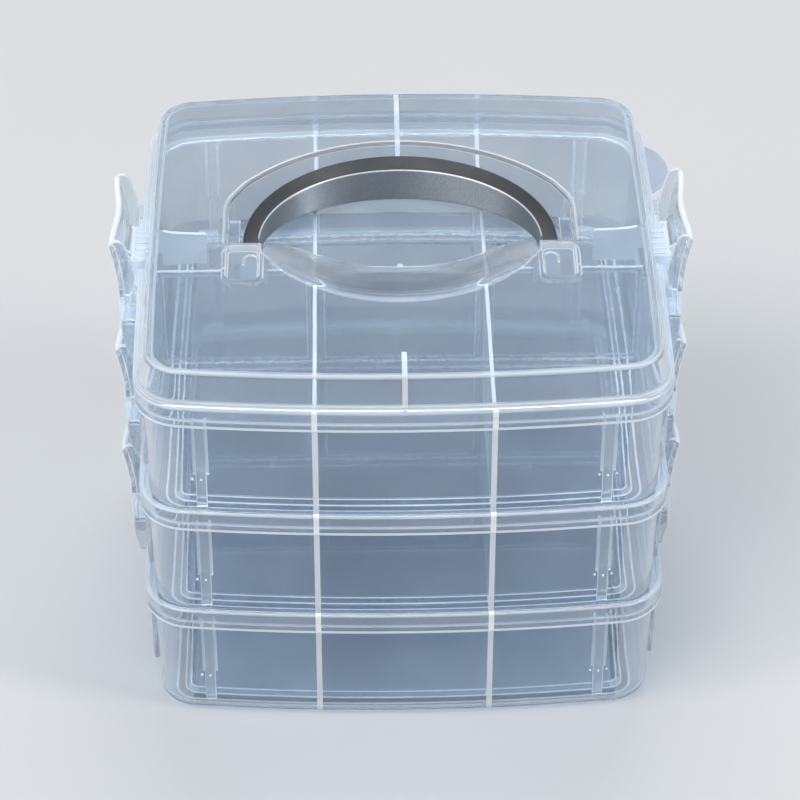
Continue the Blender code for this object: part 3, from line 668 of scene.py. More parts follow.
# %% Names for the places on a tray
BACK = 0.060
FACING = 0.9
UPRIGHT = 0.7
SLOPING = 0.5
LEVEL = 0.3
MARGIN = 0.0001
TOP_LINE = 0.0005
COLLAR_FLATS = (0.0355, 0.0376)
COLLAR_FLATS_X = 0.0780
COLLAR_LINE = (COLLAR_LOW, 0.0375)
COLLAR_LINE_INSET = 0.0024
COLLAR_FACE = (0.0372, 0.0420)
COLLAR_FACE_INSET = 0.0020
CORNER_X = 0.0625
CORNER_HEIGHTS = (0.0040, 0.0355)
STRIP_HEIGHTS = (FLOOR_TOP, 0.0350)
CATCH_FACE_X = 0.0765
CATCH_HEIGHTS = (0.0, 0.0112)
FLOOR_LINES = (0.00785, 0.01045, 0.0121)
FLOOR_LINE_HALF = 0.0004
FLOOR_LINE_TOP = 0.0030


def between(value, zone):
    """Inside a zone of heights, insets or places."""
    return zone[0] < value < zone[1]


def on_partition(c, half):
    """Within half a width of one of the two partitions."""
    return abs(abs(c.x) - PARTITION_X) < half


def on_catch(c, near, heights):
    """On a catch block, further out than a place on the side."""
    return abs(c.y) < CATCH_HALF + MARGIN and abs(c.x) > near and between(c.z, heights)


def on_collar_flat(c, n):
    """On the flat parts under the collar and on the ledge."""
    return abs(n.z) > FACING and between(c.z, COLLAR_FLATS)


def on_collar_line(c):
    """On the bead at the foot of the collar."""
    return between(c.z, COLLAR_LINE) and inset_at(c) < COLLAR_LINE_INSET


# %% Names for the places on the spare rails
RAIL_HEIGHTS = (0.0020, 0.0369)
RAIL_INSETS = (0.0047, 0.0075)
RAIL_MARK_HALF = 0.0007
PAD_MARK_HALF = 0.0018
PAD_HEIGHTS = (0.0046, 0.0180)
PAD_INSETS = (0.0050, 0.0075)
FIELD_MARK_HALF = 0.0014
FIELD_HEIGHTS = (0.0178, SPARE_TOP - 0.0003)
PIP_MARK_HALF = 0.0032
PIP_HEIGHTS = (0.0150, SPARE_FOOT)
PIP_INSET = 0.0026


def on_spare(c, half, heights):
    """Within half a width of a set of spare rails, at some height."""
    return abs(abs(c.x) - SPARE_X) < half and between(c.z, heights)


def on_spare_rail(c, n):
    """On an upright face of one of the two rails beside a field."""
    middle = (SPARE_INNER + SPARE_OUTER) / 2
    beside = abs(abs(abs(c.x) - SPARE_X) - middle) < RAIL_MARK_HALF
    inside = between(c.z, RAIL_HEIGHTS) and between(inset_at(c), RAIL_INSETS)
    return beside and inside and (abs(n.x) > UPRIGHT or abs(n.y) > UPRIGHT)


# %% Bright places of the trays
# These numbers paint a glow of light: painted highlights on the collar, the corner walls, the catch and
# the floor's steps, weaker on the back wall seen through the others.
def mark_collar_and_walls(piece):
    """The collar, the walls at the corners, the catch and the steps of the floor."""
    mark_where(piece, 0.48, lambda c, n: on_collar_flat(c, n) and abs(c.x) < COLLAR_FLATS_X
               and c.y < BACK)
    mark_where(piece, 0.25, lambda c, n: on_collar_flat(c, n) and c.y > BACK)
    mark_where(piece, 0.65, lambda c, n: on_collar_line(c) and c.y < BACK)
    mark_where(piece, 0.30, lambda c, n: on_collar_line(c) and c.y > BACK)
    mark_where(piece, 0.10, lambda c, n: between(c.z, COLLAR_FACE)
               and inset_at(c) < COLLAR_FACE_INSET)
    mark_where(piece, 0.20, lambda c, n: between(c.z, CORNER_HEIGHTS) and abs(n.z) < LEVEL
               and abs(c.x) > CORNER_X)
    mark_where(piece, 0.4, lambda c, n: on_catch(c, CATCH_FACE_X, CATCH_HEIGHTS))
    for inset in FLOOR_LINES:
        mark_where(piece, 0.9, lambda c, n: c.z < FLOOR_LINE_TOP and n.z > LEVEL
                   and abs(inset_at(c) - inset) < FLOOR_LINE_HALF)


# Painted highlights on the partitions' top edges and strips, and on the spare rails, pads, fields and
# pips.
def mark_partitions_and_rails(piece):
    """The partitions' top edges and strips, and all that belongs to the spare rails."""
    mark_where(piece, 1.0, lambda c, n: on_partition(c, PARTITION_HALF)
               and c.z > PARTITION_TOP - TOP_LINE)
    mark_where(piece, 0.8, lambda c, n: on_partition(c, STRIP_HALF) and between(c.z, STRIP_HEIGHTS)
               and (abs(n.y) > SLOPING or abs(n.x) > FACING))
    mark_where(piece, 0.9, on_spare_rail)
    mark_where(piece, 0.35, lambda c, n: on_spare(c, PAD_MARK_HALF, PAD_HEIGHTS)
               and between(inset_at(c), PAD_INSETS))
    mark_where(piece, 0.35, lambda c, n: on_spare(c, FIELD_MARK_HALF, FIELD_HEIGHTS)
               and abs(inset_at(c) - FIELD_INSET) < MARGIN)
    mark_where(piece, 1.0, lambda c, n: on_spare(c, PIP_MARK_HALF, PIP_HEIGHTS)
               and inset_at(c) < PIP_INSET)


# The tight bends of each tray get a painted glow as well.
for piece in (tray, upper_tray):
    smoothed(piece)
    mark_bends(piece, 0.42)
    mark_collar_and_walls(piece)
    mark_partitions_and_rails(piece)

# %% [markdown]
# ## Three trays from two shapes
#
# The bottom tray has no catch, because no latch reaches it from below. The two upper
# trays are the same moulding, one pitch apart, so each is a copy whose mesh is moved
# up. A piece's place is kept in its mesh, as in the CAD model.

# %% Copies and their places
def copied(source, name, shift=(0, 0, 0), half_turn=False):
    """A copy with a mesh of its own, moved, and turned half round where asked."""
    only(source)
    bpy.ops.object.duplicate()
    piece = bpy.context.active_object
    piece.name = name
    piece.data.name = name
    piece.location = shift
    piece.rotation_euler = (0, 0, math.pi if half_turn else 0)
    bpy.ops.object.transform_apply(location=True, rotation=True, scale=True)
    return piece


def in_place_of(piece, node, body):
    """The piece stands for one CAD part and moves with that part's body."""
    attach(piece, body)
    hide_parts(node)


bottom_tray = tray
bottom_tray.name = "clear_tray_bottom"
top_tray = copied(upper_tray, "clear_tray_top", (0, 0, 2 * PITCH))
middle_tray = copied(upper_tray, "clear_tray_centre", (0, 0, PITCH))
bpy.data.objects.remove(upper_tray, do_unlink=True)
in_place_of(bottom_tray, "tray_bottom", "base")
in_place_of(middle_tray, "tray_middle", "middle")
in_place_of(top_tray, "tray_top", "top")
trays = [bottom_tray, middle_tray, top_tray]
print("Trays:", [piece.name for piece in trays])

# %% [markdown]
# ## Loose dividers
#
# A divider is a thin plate with a slightly sunk field on both faces and cut corners
# where it meets the tray's rounded floor. The plate is extruded from its outline, its
# two faces are inset, and the inner fields are pressed in a little.

# %% Divider plates
DIVIDER_HALF = 0.00055
DIVIDER_LOW = 0.0028
DIVIDER_CUT = 0.0015
DIVIDER_EDGE = 0.0002
DIVIDER_SHARP = 50
DIVIDER_MIDDLE = (0.0033, PARTITION_TOP - 0.0004)
FRAME = 0.0016
FIELD_SLOPE = 0.0003
FIELD_DEPTH = 0.00015


def divider(name, left, right, cut_right):
    """Plate between two places along the box, with sunk fields."""
    outline = [(left, DIVIDER_LOW)]
    if cut_right:
        outline += [(right - DIVIDER_CUT, DIVIDER_LOW), (right, FOOT_ROUND)]
    else:
        outline += [(right, DIVIDER_LOW)]
    outline += [(right, PARTITION_TOP), (left, PARTITION_TOP)]
    piece = slab(name, outline, -DIVIDER_HALF, DIVIDER_HALF, "Y")
    only(piece)
    bpy.ops.object.mode_set(mode="EDIT")
    bpy.ops.mesh.select_mode(type="FACE")
    mesh = bmesh.from_edit_mesh(piece.data)
    for face in mesh.faces:
        face.select = abs(face.normal.y) > FACING
    bmesh.update_edit_mesh(piece.data)
    bpy.ops.mesh.inset(thickness=FRAME, depth=0)
    bpy.ops.mesh.inset(thickness=FIELD_SLOPE, depth=-FIELD_DEPTH)
    bpy.ops.object.mode_set(mode="OBJECT")
    soften(piece, DIVIDER_EDGE, sharp=DIVIDER_SHARP)
    smoothed(piece)
    # The bends and the plate's top and bottom edges get a painted glow of highlight.
    mark_bends(piece, 0.6)
    mark_where(piece, 0.9, lambda c, n: abs(n.z) > SLOPING and not between(c.z, DIVIDER_MIDDLE))
    report(piece)
    return piece


# %% Nine dividers from two
DIVIDER_GAP = 0.0003
SIDE_GAP_INSET = 0.0045
gap = PARTITION_HALF + DIVIDER_GAP
side_end = wall_x(SIDE_GAP_INSET, 0) - DIVIDER_GAP
divider_right = divider("divider_plate_right", PARTITION_X + gap, side_end, True)
divider_middle = divider("divider_plate_centre", -PARTITION_X + gap, PARTITION_X - gap, False)
dividers = []
kinds = ((divider_right, "right", False), (divider_right, "left", True), (divider_middle, "centre", False))
for level, (word, body) in enumerate((("bottom", "base"), ("middle", "middle"), ("top", "top"))):
    for source, hand, turned in kinds:
        piece = copied(source, "plate_%s_%s" % (word, hand), (0, 0, level * PITCH), turned)
        in_place_of(piece, "divider_%s_%s" % (word, hand), body)
        dividers.append(piece)
bpy.data.objects.remove(divider_right, do_unlink=True)
bpy.data.objects.remove(divider_middle, do_unlink=True)
print("Dividers:", len(dividers))

# %% [markdown]
# ## Side latch
#
# The latch is a springy plate that snaps onto the hinge bar with two knuckles. Its
# free end is a finger lip with a wavy edge: it stands out near both ends and dips in
# the middle. The plate is extruded from end to end through its cross sections, and
# each section flares as far as the lip does at that place.

# %% Cross sections of the latch plate
LATCH_HALF = 0.0180
PLATE_OUT = 0.00275
PLATE_IN = 0.00085
PLATE_LOW = 0.0009
PLATE_TIP = 0.0013
PLATE_CHAMFER = 0.0004
STRAIGHT = 0.0140
LATCH_TOP = 0.0300
CROWN = 0.0009
CROWN_HALF = 0.00095
LIP_LEAN_MIDDLE = 0.0009
LIP_LEAN_END = 0.0021
LIP_STEPS = 8
CROWN_STEPS = 6
WAVE_SHARE = 0.9
END_SHARE = 0.999
END_DROP = 0.0004
END_SHRINK = 0.0003


def plate_section(place):
    """Closed section of the plate at one place, the hinge axis at zero."""
    wave = (1 - math.cos(math.pi * min(abs(place) / WAVE_SHARE, 1.0))) / 2
    flare = LIP_LEAN_MIDDLE + (LIP_LEAN_END - LIP_LEAN_MIDDLE) * wave
    top = LATCH_TOP - END_DROP * max(abs(place) - WAVE_SHARE, 0.0) / (1 - WAVE_SHARE)
    shrink = END_SHRINK if abs(place) > END_SHARE else 0.0
    outer = []
    inner = []
    for step in range(LIP_STEPS + 1):
        t = step / LIP_STEPS
        lean = flare * (0.35 * t + 0.65 * t * t)
        height = STRAIGHT + (top - CROWN - STRAIGHT) * t
        outer.append((PLATE_OUT + lean - shrink, height))
        inner.append((PLATE_IN + lean + shrink, height))
    middle = (PLATE_OUT + PLATE_IN) / 2 + flare
    crown = []
    for step in range(1, CROWN_STEPS):
        angle = math.pi * step / CROWN_STEPS
        across = (CROWN_HALF - shrink) * math.cos(angle)
        crown.append((middle + across, top - CROWN + CROWN * math.sin(angle)))
    low = [(PLATE_IN + shrink, -PLATE_LOW), (PLATE_IN + PLATE_CHAMFER, -PLATE_TIP)]
    low += [(PLATE_OUT - PLATE_CHAMFER, -PLATE_TIP), (PLATE_OUT - shrink, -PLATE_LOW)]
    points = low + outer + crown + list(reversed(inner))
    return [(BAR_X + u, LATCH_HALF * place, BAR_Z + w) for u, w in points]


# %% The plate from end to end
MIDDLE_STEPS = 9
end_shares = [-1.0, -0.99, -0.97, -0.94, -0.91, -0.88, -0.84, -0.80, -0.75]
last = end_shares[-1]
half_shares = end_shares + [last - last * step / MIDDLE_STEPS for step in range(1, MIDDLE_STEPS + 1)]
station_shares = half_shares + [-share for share in reversed(half_shares[:-1])]
latch = extruded("latch_right", [plate_section(place) for place in station_shares])
report(latch)

# %% [markdown]
# Walls at both ends, the cheeks, keep the plate stiff and reach round the catch. Seen
# from the side each is a slab with a round hood at its top. The knuckles are thick
# rings: two round bars are added here and bored in the next step.

# %% Cheeks and knuckles
CHEEK_IN = 0.0166
CHEEK_OUT = 0.01785
CHEEK_EDGE = 0.0003
HOOD_OUT = 0.0048
HOOD_HALF = 0.0024
HOOD_Z = 0.0280
HOOD_RISE = 0.0026
HOOD_ANGLES = (0, 25, 50, 75, 100, 125, 150, 172)
KNUCKLE_IN = 0.0095
KNUCKLE_SIDES = 40
hinge = (BAR_X, BAR_Z)
cheek_outline = [(-0.0019, 0.0110), (0.0018, 0.0110), (0.0021, 0.0160), (0.0030, 0.0205)]
cheek_outline += [(0.0041, 0.0245)]
for degrees in HOOD_ANGLES:
    angle = math.radians(degrees)
    out = HOOD_OUT - HOOD_HALF * (1 - math.cos(angle))
    cheek_outline.append((out, HOOD_Z + HOOD_RISE * math.sin(angle)))
cheek_outline += [(-0.0007, 0.0262), (-0.0014, 0.0232), (-0.0022, 0.0196), (-0.0024, 0.0180)]
cheek_outline = [(BAR_X + u, BAR_Z + w) for u, w in cheek_outline]
cheeks = []
knuckles = []
for turn in (1, -1):
    y0, y1 = sorted((turn * CHEEK_IN, turn * CHEEK_OUT))
    cheeks.append(slab("cheek", cheek_outline, y0, y1, "Y", CHEEK_EDGE))
    y0, y1 = sorted((turn * KNUCKLE_IN, turn * LATCH_HALF))
    knuckles.append(bar("knuckle", PLATE_OUT, y0, y1, hinge, "Y", KNUCKLE_SIDES, CHEEK_EDGE))
shaped(latch, joined(cheeks), "UNION")
shaped(latch, joined(knuckles), "UNION")
report(latch)

# %% [markdown]
# The nose inside hooks over the catch with a ramp, so that the latch snaps shut when it
# is pushed. A bore through the knuckles takes the hinge bar, and a slot towards the
# tray lets them snap on.

# %% Nose, bore and slot
NOSE_ROOT = 0.0018
NOSE_X = 0.0790
NOSE_HEIGHT = 0.0048
NOSE_TIP = 0.0008
NOSE_HALF = 0.0075
NOSE_GAP = 0.0003
NOSE_SLOPE = 40
BORE = 0.0014
CUT_HALF = 0.0185
MOUTH_REACH = 0.0055
MOUTH_HALF = 0.0010
nose_low = TRAY_TOP + NEST + CATCH_HEIGHT + NOSE_GAP - BAR_Z
slope = math.tan(math.radians(NOSE_SLOPE))
tip = NOSE_X - BAR_X
corner = CATCH_REACH - BAR_X
tip_low = nose_low + (corner - tip) * slope
nose_outline = [(NOSE_ROOT, nose_low - (NOSE_ROOT - corner) * slope)]
nose_outline += [(NOSE_ROOT, nose_low + NOSE_HEIGHT), (tip, tip_low + NOSE_TIP), (tip, tip_low)]
nose_outline = [(BAR_X + u, BAR_Z + w) for u, w in nose_outline]
shaped(latch, slab("nose", nose_outline, -NOSE_HALF, NOSE_HALF, "Y", CHEEK_EDGE), "UNION")
shaped(latch, bar("bore", BORE, -CUT_HALF, CUT_HALF, hinge, "Y"), "DIFFERENCE")
low = (BAR_X - MOUTH_REACH, -CUT_HALF, BAR_Z - MOUTH_HALF)
shaped(latch, block("mouth", low, (BAR_X, CUT_HALF, BAR_Z + MOUTH_HALF)), "DIFFERENCE")
smoothed(latch)
# The latch's tight bends get a painted glow of highlight.
mark_bends(latch, 0.9)
report(latch)

# %% Six latches from one
latches = []
for level, word in enumerate(("bottom", "middle", "top")):
    for hand, turned in (("right", False), ("left", True)):
        piece = copied(latch, "side_latch_%s_%s" % (word, hand), (0, 0, level * PITCH), turned)
        in_place_of(piece, "latch_%s_%s" % (word, hand), "latch_%s_%s" % (word, hand))
        latches.append(piece)
bpy.data.objects.remove(latch, do_unlink=True)
print("Latches:", len(latches))

# %% [markdown]
# ## The lid
#
# The lid is a shallow cap: a flange that lies on the top tray's collar, a low wall and
# a flat plate. Under the flange a lip reaches into the collar. It is one section round
# the plan again, this time from the underside of the plate, down, out and up over it.

# %% Lid shell
LID_BASE = 0.1187
LID_TOP = 0.1285
PLATE_ROUND = 0.0006
PLATE_EDGE = 0.0007
LIP_DEPTH = 0.0024
LIP_END = 0.0004
FLANGE = 0.0010
FLANGE_EDGE = 0.00035


def lid_section():
    """From the underside of the plate down, round the lip, out and over the top."""
    under = LID_TOP - WALL
    section = [(0.0062, under), (0.0056, under - 0.0001)]
    section += round_bend(0.0059, under - PLATE_ROUND, PLATE_ROUND, 60, 0, 3)[1:]
    section += [(0.0052, LID_TOP - 0.0026), (0.0040, LID_BASE + FLANGE)]
    section += [(0.0037, LID_BASE + 0.0004), (0.0035, LID_BASE - 0.0002)]
    section += round_bend(0.0031, LID_BASE - LIP_DEPTH, -LIP_END, 0, -90, 3)
    section += round_bend(0.0025, LID_BASE - LIP_DEPTH, -LIP_END, 270, 180, 3)
    section += [(0.0021, LID_BASE - 0.0002), (0.0020, LID_BASE)]
    section += round_bend(FLANGE_EDGE, LID_BASE + FLANGE_EDGE, FLANGE_EDGE, -90, 0, 3)
    section += round_bend(FLANGE_EDGE, LID_BASE + FLANGE - FLANGE_EDGE, FLANGE_EDGE, 0, 90, 3)
    section += [(0.0010, LID_BASE + FLANGE), (0.0014, LID_BASE + 0.0012)]
    section += [(0.0016, LID_BASE + 0.0016), (0.0034, LID_TOP - 0.0014)]
    section += round_bend(0.00435, LID_TOP - PLATE_EDGE, PLATE_EDGE, 10, 90, 5)
    return section


lid = moulded("clear_lid", lid_section())
report(lid)

# %% [markdown]
# ## Bay, scoop and pockets
#
# The handle folds into a sunken bay. In front of it a lens-shaped finger scoop rises
# from the bay's floor to the plate, and a shallow pocket lies beside it on each side.
# Each of them is a plan that grows or shrinks with its height, so one function draws it
# for the outside and for the hollow. The foot of the scoop's ramp bends back into the
# bay at both ends, which gives the ramp the shape of a crescent.

# %% Plan of the bay
BAY_FLOOR = 0.1141
BAY_HALF = 0.0520
BAY_BACK = 0.0457
BAY_ARC = 0.0600
BAY_ARC_REACH = 0.0470
BAY_END = 0.0012
BAY_STEPS = 36
CROSS_Y = 0.0086
CHANNEL_X = 0.0404
RIM = 0.0014
FOOT_BEND = 0.0129
FOOT_POWER = 1.4
FOOT_STEPS = 24


def ramp_foot(x):
    """Where the scoop's ramp meets the bay floor: a curve that bends back at its ends."""
    share = min(abs(x) / CHANNEL_X, 1.0)
    return FOOT_BEND * (1 - math.cos(math.pi * share ** FOOT_POWER)) / 2


def bay_plan(grow, front=0.0):
    """Bay outline: a wide arc at the back, and at the front a channel for each arm."""
    side = BAY_HALF - RIM + grow
    end_y = -CROSS_Y + BAY_END - front
    inner = CHANNEL_X - front
    right = [(side, end_y), (side, 0.0), (side, 0.0105), (side - 0.0005, 0.0138)]
    right += [(side - 0.0015, 0.0160 + grow / 2)]
    end = math.asin(BAY_ARC_REACH / BAY_ARC)
    radius = BAY_ARC - RIM + grow
    arc = []
    for step in range(BAY_STEPS + 1):
        angle = end - 2 * end * step / BAY_STEPS
        arc.append((radius * math.sin(angle), BAY_BACK - BAY_ARC + radius * math.cos(angle)))
    foot = [(-inner, end_y)]
    for step in range(FOOT_STEPS + 1):
        x = -inner + 2 * inner * step / FOOT_STEPS
        foot.append((x, ramp_foot(x) - front))
    return right + arc + [(-x, y) for x, y in reversed(right)] + foot + [(inner, end_y)]


# %% Contours of the scoop and plan of a pocket
SCOOP_ARC = 0.0470
SCOOP_FRONT = 0.0356
SCOOP_TIP = 0.0408
SCOOP_STEPS = 32
SCOOP_BACK = 0.0005
POCKET_X = 0.0412
POCKET_FRONT = 0.0255
POCKET_DEPTH = 0.0020
POCKET_SIDE = 0.0007
POCKET_CORNER = 0.0022
POCKET_LEAST_GROW = -0.001
POCKET_STEPS = 5


def scoop_contour(grow, share, floor=BAY_FLOOR):
    """Contour of the scoop at a share of the way from the ramp's foot to the arc."""
    radius = SCOOP_ARC + grow
    centre = SCOOP_ARC - SCOOP_FRONT
    tip_angle = math.asin(SCOOP_TIP / SCOOP_ARC)
    front = []
    back = []
    for step in range(SCOOP_STEPS + 1):
        angle = -tip_angle + 2 * tip_angle * step / SCOOP_STEPS
        x = SCOOP_ARC * math.sin(angle)
        low = Vector((x, ramp_foot(x) - grow / 2, floor))
        high = Vector((radius * math.sin(angle), centre - radius * math.cos(angle), LID_TOP))
        place = low.lerp(high, share)
        front.append(place)
        back.append(Vector((place.x, ramp_foot(x) + SCOOP_BACK, place.z)))
    return front + back[::-1]


def pocket_plan(side, grow):
    """Rounded rectangle of an end pocket."""
    x0, x1 = POCKET_X - grow, BAY_HALF - POCKET_SIDE + grow
    y0, y1 = -POCKET_FRONT - grow, -CROSS_Y + grow
    radius = POCKET_CORNER + max(grow, POCKET_LEAST_GROW)
    points = []
    for cx, cy, start in ((x1 - radius, y1 - radius, 0), (x0 + radius, y1 - radius, 90),
                          (x0 + radius, y0 + radius, 180), (x1 - radius, y0 + radius, 270)):
        for step in range(POCKET_STEPS + 1):
            angle = math.radians(start + 90 * step / POCKET_STEPS)
            points.append((side * (cx + radius * math.cos(angle)), cy + radius * math.sin(angle)))
    return points


# %% [markdown]
# First the outside of the bay, the ramp and the pockets is added under the plate as
# solid plastic, and then the ribs. The hollow is cut last, from above, so its walls
# come out clean. Bent faces are cut into flat triangles first, because a Boolean
# wants flat faces.

# %% Outside of the bay, the ramp and the pockets
BAY_WALL = 0.0012
RAMP_SHARES = (0.0, 0.25, 0.5, 0.75, 0.95)
TUB_EDGE = ((0.0006, 0.0), (0.0002, 0.0002), (0.0, 0.0006))
POCKET_EDGE = 0.0005
under_plate = LID_TOP - WALL / 2
tub_floor = BAY_FLOOR - BAY_WALL
pocket_floor = LID_TOP - POCKET_DEPTH


def at(points, height):
    """The same plan at a height."""
    return [(x, y, height) for x, y in points]


def triangles(piece):
    """Cut bent faces into flat triangles before a Boolean."""
    only(piece)
    bpy.ops.object.mode_set(mode="EDIT")
    bpy.ops.mesh.select_all(action="SELECT")
    bpy.ops.mesh.quads_convert_to_tris()
    bpy.ops.object.mode_set(mode="OBJECT")
    return piece


rings = [at(bay_plan(BAY_WALL - less, BAY_WALL), tub_floor + rise) for less, rise in TUB_EDGE]
rings.append(at(bay_plan(BAY_WALL, BAY_WALL), under_plate))
shaped(lid, extruded("tub", rings), "UNION")
rings = [scoop_contour(BAY_WALL, share, tub_floor) for share in RAMP_SHARES]
shaped(lid, triangles(extruded("ramp_under", rings)), "UNION")
for side in (1, -1):
    rings = [at(pocket_plan(side, BAY_WALL - POCKET_EDGE), pocket_floor - BAY_WALL)]
    rings.append(at(pocket_plan(side, BAY_WALL), pocket_floor - BAY_WALL + POCKET_EDGE))
    rings.append(at(pocket_plan(side, BAY_WALL), under_plate))
    shaped(lid, extruded("tub_pocket", rings), "UNION")
report(lid)

# %% [markdown]
# A rib in the middle of the front and the back stiffens the lid. It is a little thicker
# at the top than at its foot, as a rib must be to leave the mould. Over the back rib
# the plate has a hair's breadth of ridge, so that the white line of the rib can be seen
# from above. A thin web with wavy edges stands beside the bay on each side.

# %% Ribs of the lid
OUTER_AT_PLATE = 0.0044
INNER_AT_PLATE = 0.0053
OUTER_AT_FLANGE = 0.0030
RIB_FOOT_Z = 0.1197
RIB_FRONT_Y = 0.0605
RIB_BACK_SUNK = 0.0008
RIB_LOW = 0.0006
RIB_HALF = 0.0005
RIB_DRAFT = 0.018
RIB_DRAFT_START = 0.1130
RIDGE_START = 0.0608
RIDGE_END = 0.0718
RIDGE_SUNK = 0.0003
RIDGE_PROUD = 0.00006
front_y = wall_y(OUTER_AT_PLATE, 0)
back_inner = wall_y(INNER_AT_PLATE, 0) - WALL
foot_y = wall_y(OUTER_AT_FLANGE, 0)
back_start = BAY_BACK - RIB_BACK_SUNK
front_rib = [(-foot_y, RIB_FOOT_Z), (-RIB_FRONT_Y, LID_TOP - WALL)]
front_rib += [(-RIB_FRONT_Y, under_plate), (-front_y, under_plate)]
back_rib = [(back_start, BAY_FLOOR - RIB_LOW), (0.0560, 0.1150), (back_inner, RIB_FOOT_Z)]
back_rib += [(foot_y, RIB_FOOT_Z), (front_y, under_plate), (back_start, under_plate)]


def rib_face(outline, turn):
    """One face of a rib, which leans out towards the top."""
    return [(turn * (RIB_HALF + RIB_DRAFT * (z - RIB_DRAFT_START)), y, z) for y, z in outline]


for outline in (front_rib, back_rib):
    shaped(lid, extruded("rib", [rib_face(outline, -1), rib_face(outline, 1)]), "UNION")
low, high = (-ROOT_HALF, RIDGE_START, LID_TOP - RIDGE_SUNK), (ROOT_HALF, RIDGE_END, LID_TOP + RIDGE_PROUD)
shaped(lid, block("rib_line", low, high), "UNION")
report(lid)

# %% Webs beside the bay
WEB_START = 0.0572
WEB_CORNER = 0.0005
WEB_HALF = 0.0006
WEB_LOW = 0.1153
WEB_FOOT = 0.1195
inner = wall_x(INNER_AT_PLATE, 0) - WALL
outer = wall_x(OUTER_AT_PLATE, 0)
foot = wall_x(OUTER_AT_FLANGE, 0)
for side in (1, -1):
    web = [(WEB_START, 0.1158), (WEB_START + WEB_CORNER, WEB_LOW), (0.0600, 0.1157)]
    web += [(0.0630, WEB_LOW), (inner, WEB_LOW), (inner, WEB_FOOT), (foot, WEB_FOOT)]
    web += [(outer, under_plate), (0.0705, under_plate), (0.0700, 0.1271), (0.0680, 0.1266)]
    web += [(0.0645, 0.1262), (0.0600, 0.1260), (WEB_START + WEB_CORNER, 0.1260)]
    web += [(WEB_START, 0.1255)]
    web = [(side * x, z) for x, z in web]
    shaped(lid, slab("side_web", web, -WEB_HALF, WEB_HALF, "Y"), "UNION")
report(lid)

# %% Cut the bay and the scoop
BAY_FLOOR_EDGE = ((-0.0009, 0.0), (-0.0005, 0.00008), (-0.0002, 0.0003), (0.0, 0.0008))
BAY_RIM = ((0.0, -0.0010), (0.00005, -0.0008), (0.0002, -0.0007), (0.0012, -0.00015))
BAY_RIM += ((0.0015, -0.00003), (0.0018, 0.0), (0.0018, WALL))
FRONT_RIM = 0.0003
SCOOP_SHARES = (0.0, 0.02, 0.2, 0.4, 0.6, 0.8, 0.96)
SCOOP_RIM_SHARES = ((0.00012, 0.982), (0.0004, 0.996), (0.0008, 1.0))
rings = [at(bay_plan(grow), BAY_FLOOR + height) for grow, height in BAY_FLOOR_EDGE]
rings += [at(bay_plan(grow, min(grow, FRONT_RIM)), LID_TOP + height) for grow, height in BAY_RIM]
shaped(lid, extruded("bay", rings), "DIFFERENCE")
rings = [scoop_contour(0.0, share) for share in SCOOP_SHARES]
rings += [scoop_contour(grow, share) for grow, share in SCOOP_RIM_SHARES]
rings.append([Vector((point.x, point.y, LID_TOP + WALL)) for point in rings[-1]])
shaped(lid, triangles(extruded("scoop", rings)), "DIFFERENCE")
report(lid)

# %% Cut the pockets
POCKET_FLOOR_EDGE = ((-0.0009, 0.0), (-0.0006, 0.0001), (-0.0005, 0.0004))
POCKET_RIM = ((-0.0004, -0.0005), (-0.0002, -0.0002), (0.0001, 0.0), (0.0001, WALL))
for side in (1, -1):
    rings = [at(pocket_plan(side, grow), pocket_floor + height) for grow, height in POCKET_FLOOR_EDGE]
    rings += [at(pocket_plan(side, grow), LID_TOP + height) for grow, height in POCKET_RIM]
    shaped(lid, extruded("pocket", rings), "DIFFERENCE")
report(lid)

# %% [markdown]
# The floor of each pocket carries a small raised arch that opens to the front. It is one
# flat outline, a bow there and a smaller bow back, given a thickness.

# %% Arches on the floors of the pockets
ARCH_X = 0.0439
ARCH_Y = -0.0136
ARCH_OUTER = 0.0025
ARCH_INNER = 0.0018
ARCH_LEG = 0.0030
ARCH_SUNK = 0.0003
ARCH_PROUD = 0.0006
ARCH_EDGE = 0.0002
ARCH_STEPS = 12


def arch_bow(radius):
    """A half circle with two legs that point to the front, seen from above."""
    bow = []
    for step in range(ARCH_STEPS + 1):
        angle = math.pi * step / ARCH_STEPS
        bow.append((ARCH_X + radius * math.cos(angle), ARCH_Y + radius * math.sin(angle)))
    return [(bow[0][0], bow[0][1] - ARCH_LEG)] + bow + [(bow[-1][0], bow[-1][1] - ARCH_LEG)]


arch_plan = arch_bow(ARCH_OUTER) + arch_bow(ARCH_INNER)[::-1]
for side in (1, -1):
    outline = [(side * x, y) for x, y in arch_plan]
    arch = slab("arch", outline, pocket_floor - ARCH_SUNK, pocket_floor + ARCH_PROUD, "Z", ARCH_EDGE)
    shaped(lid, arch, "UNION")
report(lid)

# %% [markdown]
# Two blocks on the sides of the bay carry the handle's trunnions. On each side of the
# lid a tab and a ribbed catch block stand out for the top pair of latches, with a
# small tab at both ends of the latch.

# %% Handle blocks, side tabs and catches of the lid
PIVOT_Y = -0.0025
PIVOT_Z = 0.1225
BOSS_IN = 0.0472
BOSS_SIDE = 0.0008
BOSS_HALF = 0.0080
BOSS_SUNK = 0.0006
BOSS_DROP = 0.0025
BOSS_EDGE = 0.0004
HOLE = 0.0016
HOLE_IN = 0.0458
HOLE_OUT = 0.0503
TAB_ROOT = 0.0012
TAB_REACH = 0.0781
TAB_HALF = 0.0160
TAB_LIFT = 0.00003
TAB_TOP = 0.00096
TAB_EDGE = 0.0003
END_TAB_IN = 0.0186
END_TAB_OUT = 0.0255
END_TAB_REACH = 0.0792
LID_NEST = 0.00007


def lid_tab(name, side, root, reach, y0, y1):
    """A flat tab that stands out from the lid's flange."""
    x0, x1 = sorted((side * root, side * reach))
    low, high = (x0, y0, LID_BASE + TAB_LIFT), (x1, y1, LID_BASE + TAB_TOP)
    return block(name, low, high, TAB_EDGE)


